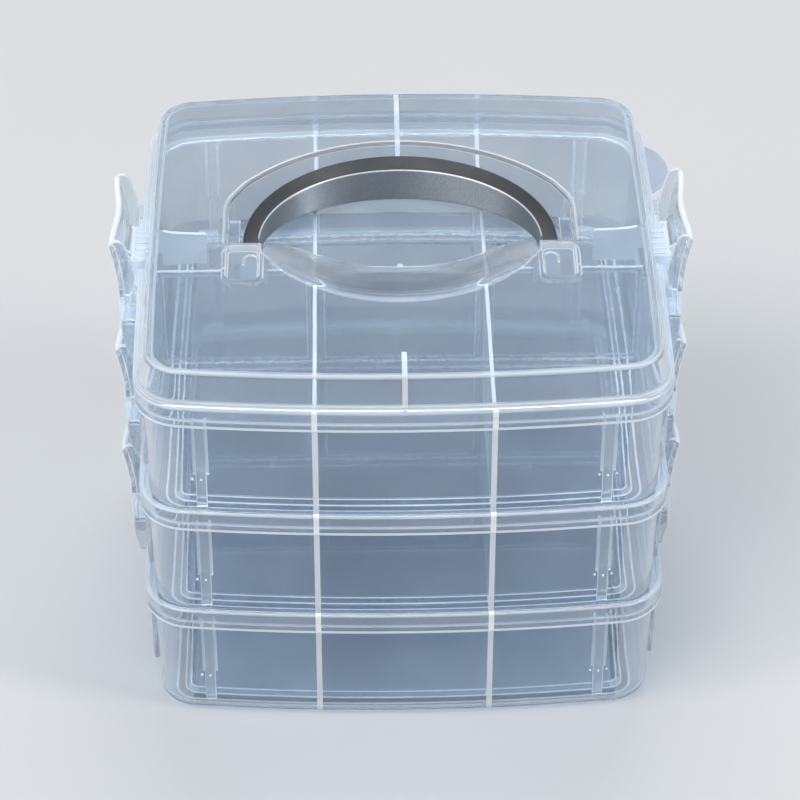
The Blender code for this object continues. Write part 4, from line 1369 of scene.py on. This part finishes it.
bosses = []
holes = []
for side in (1, -1):
    x0, x1 = sorted((side * BOSS_IN, side * (BAY_HALF - BOSS_SIDE)))
    low, high = (x0, -BOSS_HALF, BAY_FLOOR - BOSS_SUNK), (x1, BOSS_HALF, LID_TOP - BOSS_DROP)
    bosses.append(block("boss", low, high, BOSS_EDGE))
    x0, x1 = sorted((side * HOLE_IN, side * HOLE_OUT))
    holes.append(bar("trunnion_hole", HOLE, x0, x1, (PIVOT_Y, PIVOT_Z), "X"))
shaped(lid, joined(bosses), "UNION")
shaped(lid, joined(holes), "DIFFERENCE")
for side in (1, -1):
    root = wall_x(TAB_ROOT, 0)
    shaped(lid, lid_tab("side_tab", side, root, TAB_REACH, -TAB_HALF, TAB_HALF), "UNION")
    for part in catch_block(side, wall_x(OUTER_AT_PLATE, 0), LID_BASE + LID_NEST):
        shaped(lid, part, "UNION")
    for turn in (1, -1):
        y0, y1 = sorted((turn * END_TAB_IN, turn * END_TAB_OUT))
        root = wall_x(TAB_ROOT, 0.02)
        shaped(lid, lid_tab("end_tab", side, root, END_TAB_REACH, y0, y1), "UNION")
report(lid)

# %% [markdown]
# Behind the right catch the photo shows a thin round tab on the flange. The small round
# mark in the middle of the bay's floor is where the melt entered the mould, the gate.

# %% Round tab and gate mark
ROUND_TAB_X = 0.0668
ROUND_TAB_Y = 0.0421
ROUND_TAB_RADIUS = 0.0163
ROUND_TAB_ROOT = 0.0757
ROUND_TAB_LOW = 0.00012
ROUND_TAB_TOP = 0.00092
ROUND_TAB_EDGE = 0.00025
ROUND_TAB_STEPS = 32
GATE_Y = 0.0002
GATE_RADIUS = 0.0009
GATE_HALF = 0.0003
GATE_SIDES = 24
GATE_EDGE = 0.0002
tab_angle = math.acos((ROUND_TAB_ROOT - ROUND_TAB_X) / ROUND_TAB_RADIUS)
tab_plan = []
for step in range(ROUND_TAB_STEPS + 1):
    angle = -tab_angle + 2 * tab_angle * step / ROUND_TAB_STEPS
    x = ROUND_TAB_X + ROUND_TAB_RADIUS * math.cos(angle)
    tab_plan.append((x, ROUND_TAB_Y + ROUND_TAB_RADIUS * math.sin(angle)))
low, high = LID_BASE + ROUND_TAB_LOW, LID_BASE + ROUND_TAB_TOP
shaped(lid, slab("round_tab", tab_plan, low, high, "Z", ROUND_TAB_EDGE), "UNION")
low, high = BAY_FLOOR - GATE_HALF, BAY_FLOOR + GATE_HALF
gate = bar("gate_mark", GATE_RADIUS, low, high, (0, GATE_Y), "Z", GATE_SIDES, GATE_EDGE)
shaped(lid, gate, "UNION")
smoothed(lid)
report(lid)

# %% [markdown]
# ## What is bright on the lid
#
# The ribs and the edges of the webs are white lines in the photo, and the rims of the
# pockets, the arches and the gate mark are paler than the plate. The scoop's ramp gets
# paler towards both ends, so its numbers grow in bands from the middle outwards. Each
# kind of place has a short test of its own, by the middle and the normal of a face.

# %% Names for the places on the lid
LID_CATCH_X = 0.0736
LID_CATCH_HEIGHTS = (LID_BASE, 0.1235)
UNDERSIDE = 0.1271
WEB_ZONE = (0.0565, 0.0728)
WEB_MARK_HALF = 0.0008
RIB_ZONE = (0.0440, 0.0725)
RIB_MARK_HALF = 0.0013
RIB_SLOPE = 0.05
ROOT_Y = 0.0690
ROOT_HEIGHTS = (0.1200, LID_TOP - 0.0001)
WALL_HEIGHTS = (0.1195, 0.1272)
WALL_INSET = 0.0045
SIDEWAYS = 0.8


def on_web(c):
    """On one of the webs beside the bay."""
    return abs(c.y) < WEB_MARK_HALF and between(abs(c.x), WEB_ZONE) and c.z < UNDERSIDE


def on_lid_rib(c, n):
    """On a side or on the foot of the rib at the front or at the back."""
    there = abs(c.x) < RIB_MARK_HALF and between(abs(c.y), RIB_ZONE) and c.z < UNDERSIDE
    return there and (abs(n.x) > FACING or (n.z < -SLOPING and abs(n.y) > RIB_SLOPE))


def on_rib_root(c):
    """On the strip of the wall where a rib stands behind it."""
    return abs(c.x) < ROOT_HALF and abs(c.y) > ROOT_Y


def on_lid_wall(c):
    """On the low wall of the lid."""
    return inset_at(c) < WALL_INSET and between(c.z, WALL_HEIGHTS)


# %% Names for the places on the bay and the pockets
RIM_HEIGHTS = (LID_TOP - 0.0011, LID_TOP - 0.00004)
RIM_TILT = (0.05, 0.99)
RIM_MARK_X = 0.001
BAY_RIM_Y = (-0.001, 0.050)
POCKET_RIM_Y = (-0.028, -0.0075)
POCKET_RIM_BACK = 0.002
BAY_END_Y = (-0.0088, -0.0072)
BAY_END_X = 0.040
GATE_MARK = 0.0012
GATE_HEIGHTS = (BAY_FLOOR + 0.00005, BAY_FLOOR + 0.0006)
ARCH_HEIGHTS = (pocket_floor + 0.0001, pocket_floor + 0.0008)
ARCH_MARK_X = (0.0412, 0.0466)
ARCH_MARK_Y = (-0.0170, -0.0108)
ARCH_TILT = 0.95


def on_rim(c, n):
    """On a rounded rim of the plate, inside the width of the bay."""
    inside = between(c.z, RIM_HEIGHTS) and abs(c.x) < BAY_HALF + RIM_MARK_X
    return inside and between(n.z, RIM_TILT)


def on_gate(c):
    """On the gate mark."""
    return between(c.z, GATE_HEIGHTS) and abs(c.x) < GATE_MARK and abs(c.y - GATE_Y) < GATE_MARK


def on_arch(c, n):
    """On a side or an edge of one of the two arches."""
    inside = between(abs(c.x), ARCH_MARK_X) and between(c.y, ARCH_MARK_Y)
    return inside and between(c.z, ARCH_HEIGHTS) and n.z < ARCH_TILT


# %% Bright places of the lid
# Each number below turns the lid's finish whitish: a painted glow of light on the bends, ribs, webs, rims,
# arches and the gate mark.
mark_bends(lid, 0.42)
mark_where(lid, 0.4, lambda c, n: on_catch(c, LID_CATCH_X, LID_CATCH_HEIGHTS))
mark_where(lid, 0.42, lambda c, n: on_web(c) and abs(n.y) > FACING)
mark_where(lid, 1.0, lambda c, n: on_web(c) and n.z > SLOPING)
mark_where(lid, 0.35, lambda c, n: between(c.y, BAY_END_Y) and abs(n.y) > FACING
           and abs(c.x) > BAY_END_X)
mark_where(lid, 0.85, on_lid_rib)
mark_where(lid, 0.8, lambda c, n: on_rib_root(c) and between(c.z, ROOT_HEIGHTS)
           and abs(n.x) < SLOPING)
mark_where(lid, 0.5, lambda c, n: on_lid_wall(c) and abs(n.x) > SIDEWAYS)
mark_where(lid, 0.10, lambda c, n: on_lid_wall(c))
mark_where(lid, 0.6, lambda c, n: on_gate(c))
mark_where(lid, 0.10, lambda c, n: on_rim(c, n) and between(c.y, BAY_RIM_Y))
mark_where(lid, 0.45, lambda c, n: on_rim(c, n) and abs(c.x) > POCKET_X - POCKET_RIM_BACK
           and between(c.y, POCKET_RIM_Y))
mark_where(lid, 0.5, on_arch)

# %% The scoop's ramp gets paler towards its ends
RAMP_START = 0.0120
RAMP_BAND = 0.0021
RAMP_BANDS = 14
RAMP_LEAST = 0.03
RAMP_MORE = 0.45
RAMP_Y = (-0.034, 0.0135)
RAMP_HEIGHTS = (BAY_FLOOR + 0.0001, LID_TOP - 0.0004)
RAMP_TILT = (0.5, 0.96)


def on_ramp(c, n):
    """On the sloping ramp of the scoop."""
    return between(c.y, RAMP_Y) and between(c.z, RAMP_HEIGHTS) and between(n.z, RAMP_TILT)


for band in range(RAMP_BANDS):
    near = RAMP_START + RAMP_BAND * band
    value = RAMP_LEAST + RAMP_MORE * (band / (RAMP_BANDS - 1)) ** 2
    mark_where(lid, value, lambda c, n: near < abs(c.x) < near + RAMP_BAND and on_ramp(c, n))
report(lid)
in_place_of(lid, "lid", "lid")

# %% [markdown]
# ## The handle
#
# The handle is a flat strap bent into half an ellipse, wider and deeper in the middle
# than at its arms, with a round end and a trunnion at each side. The cap is extruded
# along the bow through rounded sections.

# %% Sections of the handle
HANDLE_OUT_X = 0.0466
HANDLE_IN_X = 0.0416
HANDLE_OUT_Y = 0.0450
HANDLE_IN_Y = 0.0368
ARM_HEIGHT = 0.0060
BOW_HEIGHT = 0.0110
STRAP_EDGE = 0.0008
EDGE_STEPS = 3
END_STEPS = 6
END_TURN_SHARE = 0.97
END_LEAST = 0.0004


def strap_section(outer, inner, top, bottom):
    """Section between an outer and an inner point, with rounded corners."""
    across = inner - outer
    width = across.length
    inward = across / width
    edge = min(STRAP_EDGE, (top - bottom) / 3)
    corners = ((edge, top - edge, 180, 90), (width - edge, top - edge, 90, 0),
               (width - edge, bottom + edge, 0, -90), (edge, bottom + edge, -90, -180))
    points = []
    for run, height, start, end in corners:
        for step in range(EDGE_STEPS + 1):
            angle = math.radians(start + (end - start) * step / EDGE_STEPS)
            place = outer + inward * (run + edge * math.cos(angle))
            points.append((place.x, PIVOT_Y + place.y, PIVOT_Z + height + edge * math.sin(angle)))
    return points


def arm_end(side, step):
    """Section of an arm's round end, the further from the bow the higher the step."""
    angle = math.pi / 2 * END_TURN_SHARE * step / END_STEPS
    half = max(ARM_HEIGHT / 2 * math.cos(angle), END_LEAST)
    along = -ARM_HEIGHT / 2 * math.sin(angle)
    outer = Vector((side * HANDLE_OUT_X, along))
    inner = Vector((side * HANDLE_IN_X, along))
    return strap_section(outer, inner, half, -half)


# %% Handle strap and trunnions
BOW_STEPS = 72
TRUNNION = 0.0015
TRUNNION_IN = 0.0441
TRUNNION_OUT = 0.0500
TRUNNION_EDGE = 0.0003
HANDLE_SMOOTH = 35
strap = []
for step in range(BOW_STEPS + 1):
    angle = math.pi * step / BOW_STEPS
    across, along = math.cos(angle), math.sin(angle)
    height = ARM_HEIGHT + (BOW_HEIGHT - ARM_HEIGHT) * along
    outer = Vector((HANDLE_OUT_X * across, HANDLE_OUT_Y * along))
    inner = Vector((HANDLE_IN_X * across, HANDLE_IN_Y * along))
    strap.append(strap_section(outer, inner, ARM_HEIGHT / 2, ARM_HEIGHT / 2 - height))
right_end = [arm_end(1, step) for step in range(END_STEPS, 0, -1)]
left_end = [arm_end(-1, step) for step in range(1, END_STEPS + 1)]
handle = extruded("silver_handle_bow", right_end + strap + left_end)
trunnions = []
for side in (1, -1):
    x0, x1 = sorted((side * TRUNNION_IN, side * TRUNNION_OUT))
    around = (PIVOT_Y, PIVOT_Z)
    trunnions.append(bar("trunnion", TRUNNION, x0, x1, around, "X", BAR_SIDES, TRUNNION_EDGE))
shaped(handle, joined(trunnions), "UNION")
smoothed(handle, HANDLE_SMOOTH)
report(handle)
in_place_of(handle, "handle", "handle")

# %% [markdown]
# ## Clear plastic
#
# Clear polypropylene bends light like glass but is a little milky, and a moulding is
# never quite flat: the melt leaves faint flow waves and a fine orange peel. The shader
# is a Principled one with transmission. Noise on object coordinates drives its
# roughness, a haze in its colour and a bump. Where the number of a face is high, a
# painted glow turns the colour whitish and less light passes. For shadow rays a tinted
# transparent shader takes over, so that lamps still light the inside of the box.

# %% Material helpers
def fresh_material(name):
    """A new material with an empty node tree and its output."""
    material = bpy.data.materials.new(name)
    material.use_nodes = True
    tree = material.node_tree
    tree.nodes.clear()
    return material, tree, tree.nodes.new("ShaderNodeOutputMaterial")


def noise_at(tree, coordinates, scale, detail, distortion=0.0):
    """Noise texture on object coordinates."""
    noise = tree.nodes.new("ShaderNodeTexNoise")
    noise.inputs["Scale"].default_value = scale
    noise.inputs["Detail"].default_value = detail
    noise.inputs["Distortion"].default_value = distortion
    tree.links.new(coordinates, noise.inputs["Vector"])
    return noise.outputs["Fac"]


def ramp_between(tree, value, low, high, start=0.35, end=0.65):
    """Colour ramp between two colours over the middle of a noise."""
    ramp = tree.nodes.new("ShaderNodeValToRGB")
    ramp.color_ramp.elements[0].position = start
    ramp.color_ramp.elements[1].position = end
    ramp.color_ramp.elements[0].color = (*low, 1)
    ramp.color_ramp.elements[1].color = (*high, 1)
    tree.links.new(value, ramp.inputs["Fac"])
    return ramp.outputs["Color"]


def number_between(tree, value, low, high, start=0.3, end=0.7):
    """Map a noise to a range of numbers."""
    remap = tree.nodes.new("ShaderNodeMapRange")
    remap.inputs["From Min"].default_value = start
    remap.inputs["From Max"].default_value = end
    remap.inputs["To Min"].default_value = low
    remap.inputs["To Max"].default_value = high
    tree.links.new(value, remap.inputs["Value"])
    return remap.outputs["Result"]


def bump_of(tree, height, strength, distance):
    """Bump node driven by a noise."""
    bump = tree.nodes.new("ShaderNodeBump")
    bump.inputs["Strength"].default_value = strength
    bump.inputs["Distance"].default_value = distance
    tree.links.new(height, bump.inputs["Height"])
    return bump


# %% Clear moulded plastic
GLOW_WHITE = (0.88, 0.92, 0.95, 1)


def clear_plastic(name, tint, haze, passed, smooth, rough, clarity, edge_clarity):
    """Clear moulded plastic: refraction, milky clouds, flow waves and a painted glow on bends."""
    material, tree, output = fresh_material(name)
    place = tree.nodes.new("ShaderNodeTexCoord").outputs["Object"]
    painted_glow = tree.nodes.new("ShaderNodeAttribute")
    painted_glow.attribute_name = "painted_glow"
    plastic = tree.nodes.new("ShaderNodeBsdfPrincipled")
    plastic.inputs["IOR"].default_value = 1.45
    clouds = ramp_between(tree, noise_at(tree, place, 38, 3, 0.4), haze, tint)
    # Painted glow: the colour mixes towards pale white where a face's number is high.
    edges = tree.nodes.new("ShaderNodeMix")
    edges.data_type = "RGBA"
    edges.inputs["B"].default_value = GLOW_WHITE
    tree.links.new(painted_glow.outputs["Fac"], edges.inputs["Factor"])
    tree.links.new(clouds, edges.inputs["A"])
    tree.links.new(edges.outputs["Result"], plastic.inputs["Base Color"])
    clear = number_between(tree, painted_glow.outputs["Fac"], clarity, edge_clarity, 0.0, 1.0)
    tree.links.new(clear, plastic.inputs["Transmission Weight"])
    grain = number_between(tree, noise_at(tree, place, 260, 4), smooth, rough)
    tree.links.new(grain, plastic.inputs["Roughness"])
    coarse = bump_of(tree, noise_at(tree, place, 55, 2, 0.8), 0.05, 0.0008)
    fine = bump_of(tree, noise_at(tree, place, 900, 2), 0.03, 0.0002)
    tree.links.new(coarse.outputs["Normal"], fine.inputs["Normal"])
    tree.links.new(fine.outputs["Normal"], plastic.inputs["Normal"])
    through = tree.nodes.new("ShaderNodeBsdfTransparent")
    through.inputs["Color"].default_value = (*passed, 1)
    ray = tree.nodes.new("ShaderNodeLightPath")
    mix = tree.nodes.new("ShaderNodeMixShader")
    tree.links.new(ray.outputs["Is Shadow Ray"], mix.inputs["Fac"])
    tree.links.new(plastic.outputs["BSDF"], mix.inputs[1])
    tree.links.new(through.outputs["BSDF"], mix.inputs[2])
    tree.links.new(mix.outputs["Shader"], output.inputs["Surface"])
    return material


# %% Finishes of the clear parts
def finish(piece, material):
    """One finish all over a piece."""
    piece.data.materials.clear()
    piece.data.materials.append(material)


tray_clear = clear_plastic(
    "tray_clear", tint=(0.758, 0.806, 0.850), haze=(0.695, 0.747, 0.800),
    passed=(0.72, 0.76, 0.80), smooth=0.012, rough=0.045, clarity=0.94, edge_clarity=0.05)
lid_clear = clear_plastic(
    "lid_clear", tint=(0.762, 0.810, 0.856), haze=(0.700, 0.752, 0.805),
    passed=(0.80, 0.84, 0.88), smooth=0.010, rough=0.040, clarity=0.94, edge_clarity=0.05)
divider_clear = clear_plastic(
    "divider_clear", tint=(0.80, 0.85, 0.90), haze=(0.74, 0.80, 0.86),
    passed=(0.78, 0.82, 0.86), smooth=0.03, rough=0.08, clarity=0.92, edge_clarity=0.05)
latch_clear = clear_plastic(
    "latch_clear", tint=(0.77, 0.825, 0.87), haze=(0.71, 0.77, 0.825),
    passed=(0.80, 0.84, 0.88), smooth=0.03, rough=0.08, clarity=0.91, edge_clarity=0.05)
tab_clear = clear_plastic(
    "tab_clear", tint=(0.60, 0.67, 0.78), haze=(0.54, 0.61, 0.72),
    passed=(0.40, 0.46, 0.54), smooth=0.03, rough=0.09, clarity=0.80, edge_clarity=0.30)
finish(lid, lid_clear)
for pieces, material in ((trays, tray_clear), (dividers, divider_clear), (latches, latch_clear)):
    for piece in pieces:
        finish(piece, material)
print("Clear finishes:", [m.name for m in bpy.data.materials if m.name.endswith("_clear")])

# %% [markdown]
# ## Satin silver
#
# The handle looks like plastic with a silver-grey metallic paint: a soft sheen with
# fine flakes and an uneven gloss. Its highlight is drawn out along the bow, because the
# tangent of the shader runs round the upright axis. The flat top of the bow looks much
# darker than its inner side, and the rounded edge between them is a bright line. That
# is how the light falls, so it is painted in: the flat faces get a painted shade, a dark
# copy of the paint, and the inner edge a painted highlight, a pale copy.

# %% Silver paint
def silver_paint(name, dark, light, metallic, smooth, rough):
    """Metallic paint with flakes and slightly worn gloss."""
    material, tree, output = fresh_material(name)
    place = tree.nodes.new("ShaderNodeTexCoord").outputs["Object"]
    paint = tree.nodes.new("ShaderNodeBsdfPrincipled")
    paint.inputs["Metallic"].default_value = metallic
    flakes = noise_at(tree, place, 2600, 2)
    soft = noise_at(tree, place, 60, 4, 0.8)
    tree.links.new(ramp_between(tree, flakes, dark, light), paint.inputs["Base Color"])
    tree.links.new(number_between(tree, soft, smooth, rough), paint.inputs["Roughness"])
    paint.inputs["Anisotropic"].default_value = 0.85
    paint.inputs["Anisotropic Rotation"].default_value = 0.25
    along = tree.nodes.new("ShaderNodeTangent")
    along.direction_type = "RADIAL"
    along.axis = "Z"
    tree.links.new(along.outputs["Tangent"], paint.inputs["Tangent"])
    bump = bump_of(tree, flakes, 0.12, 0.0001)
    tree.links.new(bump.outputs["Normal"], paint.inputs["Normal"])
    tree.links.new(paint.outputs["BSDF"], output.inputs["Surface"])
    return material


# %% Handle finish
ARM_BACK = 0.0020
BOW_START = 0.0010
EDGE_TILT = (0.40, 0.8)


def finish_where(piece, material, test):
    """Give one more finish to the faces that a test picks by middle and normal."""
    piece.data.materials.append(material)
    only(piece)
    bpy.ops.object.mode_set(mode="EDIT")
    bpy.ops.mesh.select_mode(type="FACE")
    bpy.ops.mesh.select_all(action="DESELECT")
    mesh = bmesh.from_edit_mesh(piece.data)
    count = 0
    for face in mesh.faces:
        face.select = test(face.calc_center_median(), face.normal)
        count += face.select
    bmesh.update_edit_mesh(piece.data)
    piece.active_material_index = len(piece.data.materials) - 1
    bpy.ops.object.material_slot_assign()
    bpy.ops.object.mode_set(mode="OBJECT")
    print("%s: %d faces in %s" % (piece.name, count, material.name))


def faces_inwards(c, n):
    """The face looks towards the hinge axis of the handle."""
    return n.x * c.x + n.y * (c.y - PIVOT_Y) < 0


main_paint = silver_paint(
    "silver_paint", (0.285, 0.315, 0.340), (0.375, 0.410, 0.440), metallic=0.80, smooth=0.42, rough=0.56)
# A dark copy of the paint for the flat top and bottom faces: painted shade.
top_painted_shade = silver_paint(
    "silver_painted_shade", (0.035, 0.041, 0.046), (0.055, 0.062, 0.068), metallic=0.4, smooth=0.40, rough=0.55)
# A pale copy of the paint for the inner rounded edge: a painted highlight.
edge_painted_highlight = silver_paint(
    "silver_painted_highlight", (0.78, 0.80, 0.81), (0.86, 0.88, 0.89), metallic=0.35, smooth=0.40, rough=0.55)
finish(handle, main_paint)
finish_where(handle, top_painted_shade, lambda c, n: abs(n.z) > EDGE_TILT[1] and c.y > PIVOT_Y - ARM_BACK)
finish_where(handle, edge_painted_highlight, lambda c, n: between(n.z, EDGE_TILT) and c.y > PIVOT_Y + BOW_START
             and faces_inwards(c, n))

# %% [markdown]
# Two places of the lid differ from its clear plastic. The round tab is darker and bluer
# than the rest of the lid. Where a rib stands on the wall, its white line of light is
# painted in with a pale matt finish, a painted glow. A matt finish does that better than
# a clear one, because inside clear plastic the surface behind the rib would reflect like
# a mirror. The ridge over the back rib gets the same painted glow.

# %% Darker tab and a painted glow on the rib roots
TAB_SEEN_X = 0.0774
TAB_SEEN_Y = 0.0262
TAB_SEEN_TOP = 0.0015
ROOT_GLOW_HEIGHTS = (0.1195, LID_TOP - 0.00001)


def matt_painted_light(name, dark, light):
    """Pale matt finish that paints in a glow of light and lets hardly any through."""
    material, tree, output = fresh_material(name)
    place = tree.nodes.new("ShaderNodeTexCoord").outputs["Object"]
    glow_shader = tree.nodes.new("ShaderNodeBsdfPrincipled")
    glow_shader.inputs["Specular IOR Level"].default_value = 0.0
    clouds = noise_at(tree, place, 300, 3, 0.3)
    tree.links.new(ramp_between(tree, clouds, dark, light), glow_shader.inputs["Base Color"])
    tree.links.new(number_between(tree, clouds, 0.5, 0.7), glow_shader.inputs["Roughness"])
    tree.links.new(glow_shader.outputs["BSDF"], output.inputs["Surface"])
    return material


def faces_out(c, n):
    """The face looks out of the front or the back wall."""
    return abs(n.x) < SLOPING and n.y * c.y > 0


def on_round_tab(c):
    """On the round tab, outside the flange's edge."""
    return c.x > TAB_SEEN_X and c.y > TAB_SEEN_Y and c.z < LID_BASE + TAB_SEEN_TOP


finish_where(lid, tab_clear, lambda c, n: on_round_tab(c))
# Painted glow: pale matt paint on the rib roots and the ridge, where a rib's line of light shows.
rib_painted_light = matt_painted_light("rib_painted_light", (0.62, 0.67, 0.70), (0.72, 0.77, 0.80))
finish_where(lid, rib_painted_light, lambda c, n: on_rib_root(c) and between(c.z, ROOT_GLOW_HEIGHTS)
             and faces_out(c, n))
finish_where(lid, rib_painted_light, lambda c, n: abs(c.x) < ROOT_HALF and RIDGE_START < c.y < RIDGE_END
             and c.z > LID_TOP + RIDGE_PROUD / 2 and n.z > FACING)

# %% [markdown]
# ## Floor, lamps and camera
#
# A pale sweep has no horizon line. Four large soft lamps light the box plainly, and
# the camera looks down at the angle that shows the lid, the front and both latches.

# %% Floor sweep
SWEEP_FRONT = -3.0
SWEEP_BEND = 1.2
SWEEP_RADIUS = 0.6
SWEEP_HALF = 4.0
SWEEP_TOP = 4.0
SWEEP_STEPS = 16
ROUNDING = 6


def floor_sweep():
    """A floor that bends up into a backdrop behind the box."""
    profile = [(SWEEP_FRONT, 0.0), (SWEEP_BEND, 0.0)]
    for step in range(1, SWEEP_STEPS + 1):
        angle = math.pi / 2 * step / SWEEP_STEPS
        rise = SWEEP_RADIUS - SWEEP_RADIUS * math.cos(angle)
        profile.append((SWEEP_BEND + SWEEP_RADIUS * math.sin(angle), rise))
    profile.append((SWEEP_BEND + SWEEP_RADIUS, SWEEP_TOP))
    deselect_all()
    bpy.ops.mesh.primitive_grid_add(x_subdivisions=1, y_subdivisions=len(profile) - 1, size=1)
    sweep = bpy.context.active_object
    sweep.name = "floor"
    rows = sorted({round(vertex.co.y, ROUNDING) for vertex in sweep.data.vertices})
    for vertex in sweep.data.vertices:
        y, z = profile[rows.index(round(vertex.co.y, ROUNDING))]
        vertex.co = (SWEEP_HALF if vertex.co.x > 0 else -SWEEP_HALF, y, z)
    bpy.ops.object.shade_smooth()
    return sweep


floor = floor_sweep()
print("Floor rows:", SWEEP_STEPS + 3)

# %% Floor paint
floor_paint, floor_tree, floor_output = fresh_material("floor_paint")
floor_shader = floor_tree.nodes.new("ShaderNodeBsdfPrincipled")
floor_shader.inputs["Specular IOR Level"].default_value = 0.1
floor_shader.inputs["Roughness"].default_value = 0.9
floor_place = floor_tree.nodes.new("ShaderNodeTexCoord").outputs["Object"]
floor_noise = noise_at(floor_tree, floor_place, 3, 2)
floor_colour = ramp_between(floor_tree, floor_noise, (0.615, 0.625, 0.635), (0.625, 0.635, 0.645))
floor_tree.links.new(floor_colour, floor_shader.inputs["Base Color"])
floor_tree.links.new(floor_shader.outputs["BSDF"], floor_output.inputs["Surface"])
finish(floor, floor_paint)

# %% Soft lamps and a quiet world
LAMPS = (
    ("key", (-0.9, -0.9, 1.6), (0, 0, 0.05), 1.2, 0.9, 18),
    ("fill", (1.4, -0.5, 1.0), (0, 0, 0.05), 0.4, 1.2, 12),
    ("side", (-1.4, -0.4, 1.0), (0, 0, 0.05), 0.4, 1.2, 6),
    ("back", (0.1, 1.0, 1.5), (0, 0, 0.10), 1.0, 0.6, 12))


def aim(thing, place, direction):
    """Put a lamp or a camera at a place and turn it to a direction."""
    thing.location = place
    thing.rotation_euler = direction.to_track_quat("-Z", "Y").to_euler()


def soft_lamp(name, place, target, width, height, power):
    """A rectangular lamp that looks at a point."""
    data = bpy.data.lights.new(name, "AREA")
    data.shape = "RECTANGLE"
    data.size = width
    data.size_y = height
    data.energy = power
    lamp = bpy.data.objects.new(name, data)
    bpy.context.scene.collection.objects.link(lamp)
    aim(lamp, place, Vector(target) - Vector(place))


for lamp in LAMPS:
    soft_lamp(*lamp)
world = bpy.data.worlds.new("studio")
bpy.context.scene.world = world
world.use_nodes = True
background = world.node_tree.nodes["Background"]
background.inputs["Color"].default_value = (0.78, 0.81, 0.85, 1)
background.inputs["Strength"].default_value = 0.35
print("Lamps:", len(LAMPS))

# %% Camera
CAMERA_PLACE = (-0.0147, -0.7985, 0.6844)
CAMERA_LOOKS = (0.01448, 0.7894, -0.6137)
SENSOR = 36
LENS = 148.14
camera_data = bpy.data.cameras.new("camera")
camera_data.sensor_width = SENSOR
camera_data.lens = LENS
camera = bpy.data.objects.new("camera", camera_data)
bpy.context.scene.collection.objects.link(camera)
aim(camera, CAMERA_PLACE, Vector(CAMERA_LOOKS))
bpy.context.scene.camera = camera

# %% [markdown]
# Light crosses dozens of thin walls in a stack of clear trays. With too few bounces the
# inner walls would turn black, so the limits for transmission and for transparent
# shadows are high.

# %% Light paths through many thin walls
scene = bpy.context.scene
scene.view_settings.view_transform = "Standard"
scene.cycles.max_bounces = 32
scene.cycles.transmission_bounces = 32
scene.cycles.transparent_max_bounces = 64
scene.cycles.diffuse_bounces = 4
scene.cycles.glossy_bounces = 6
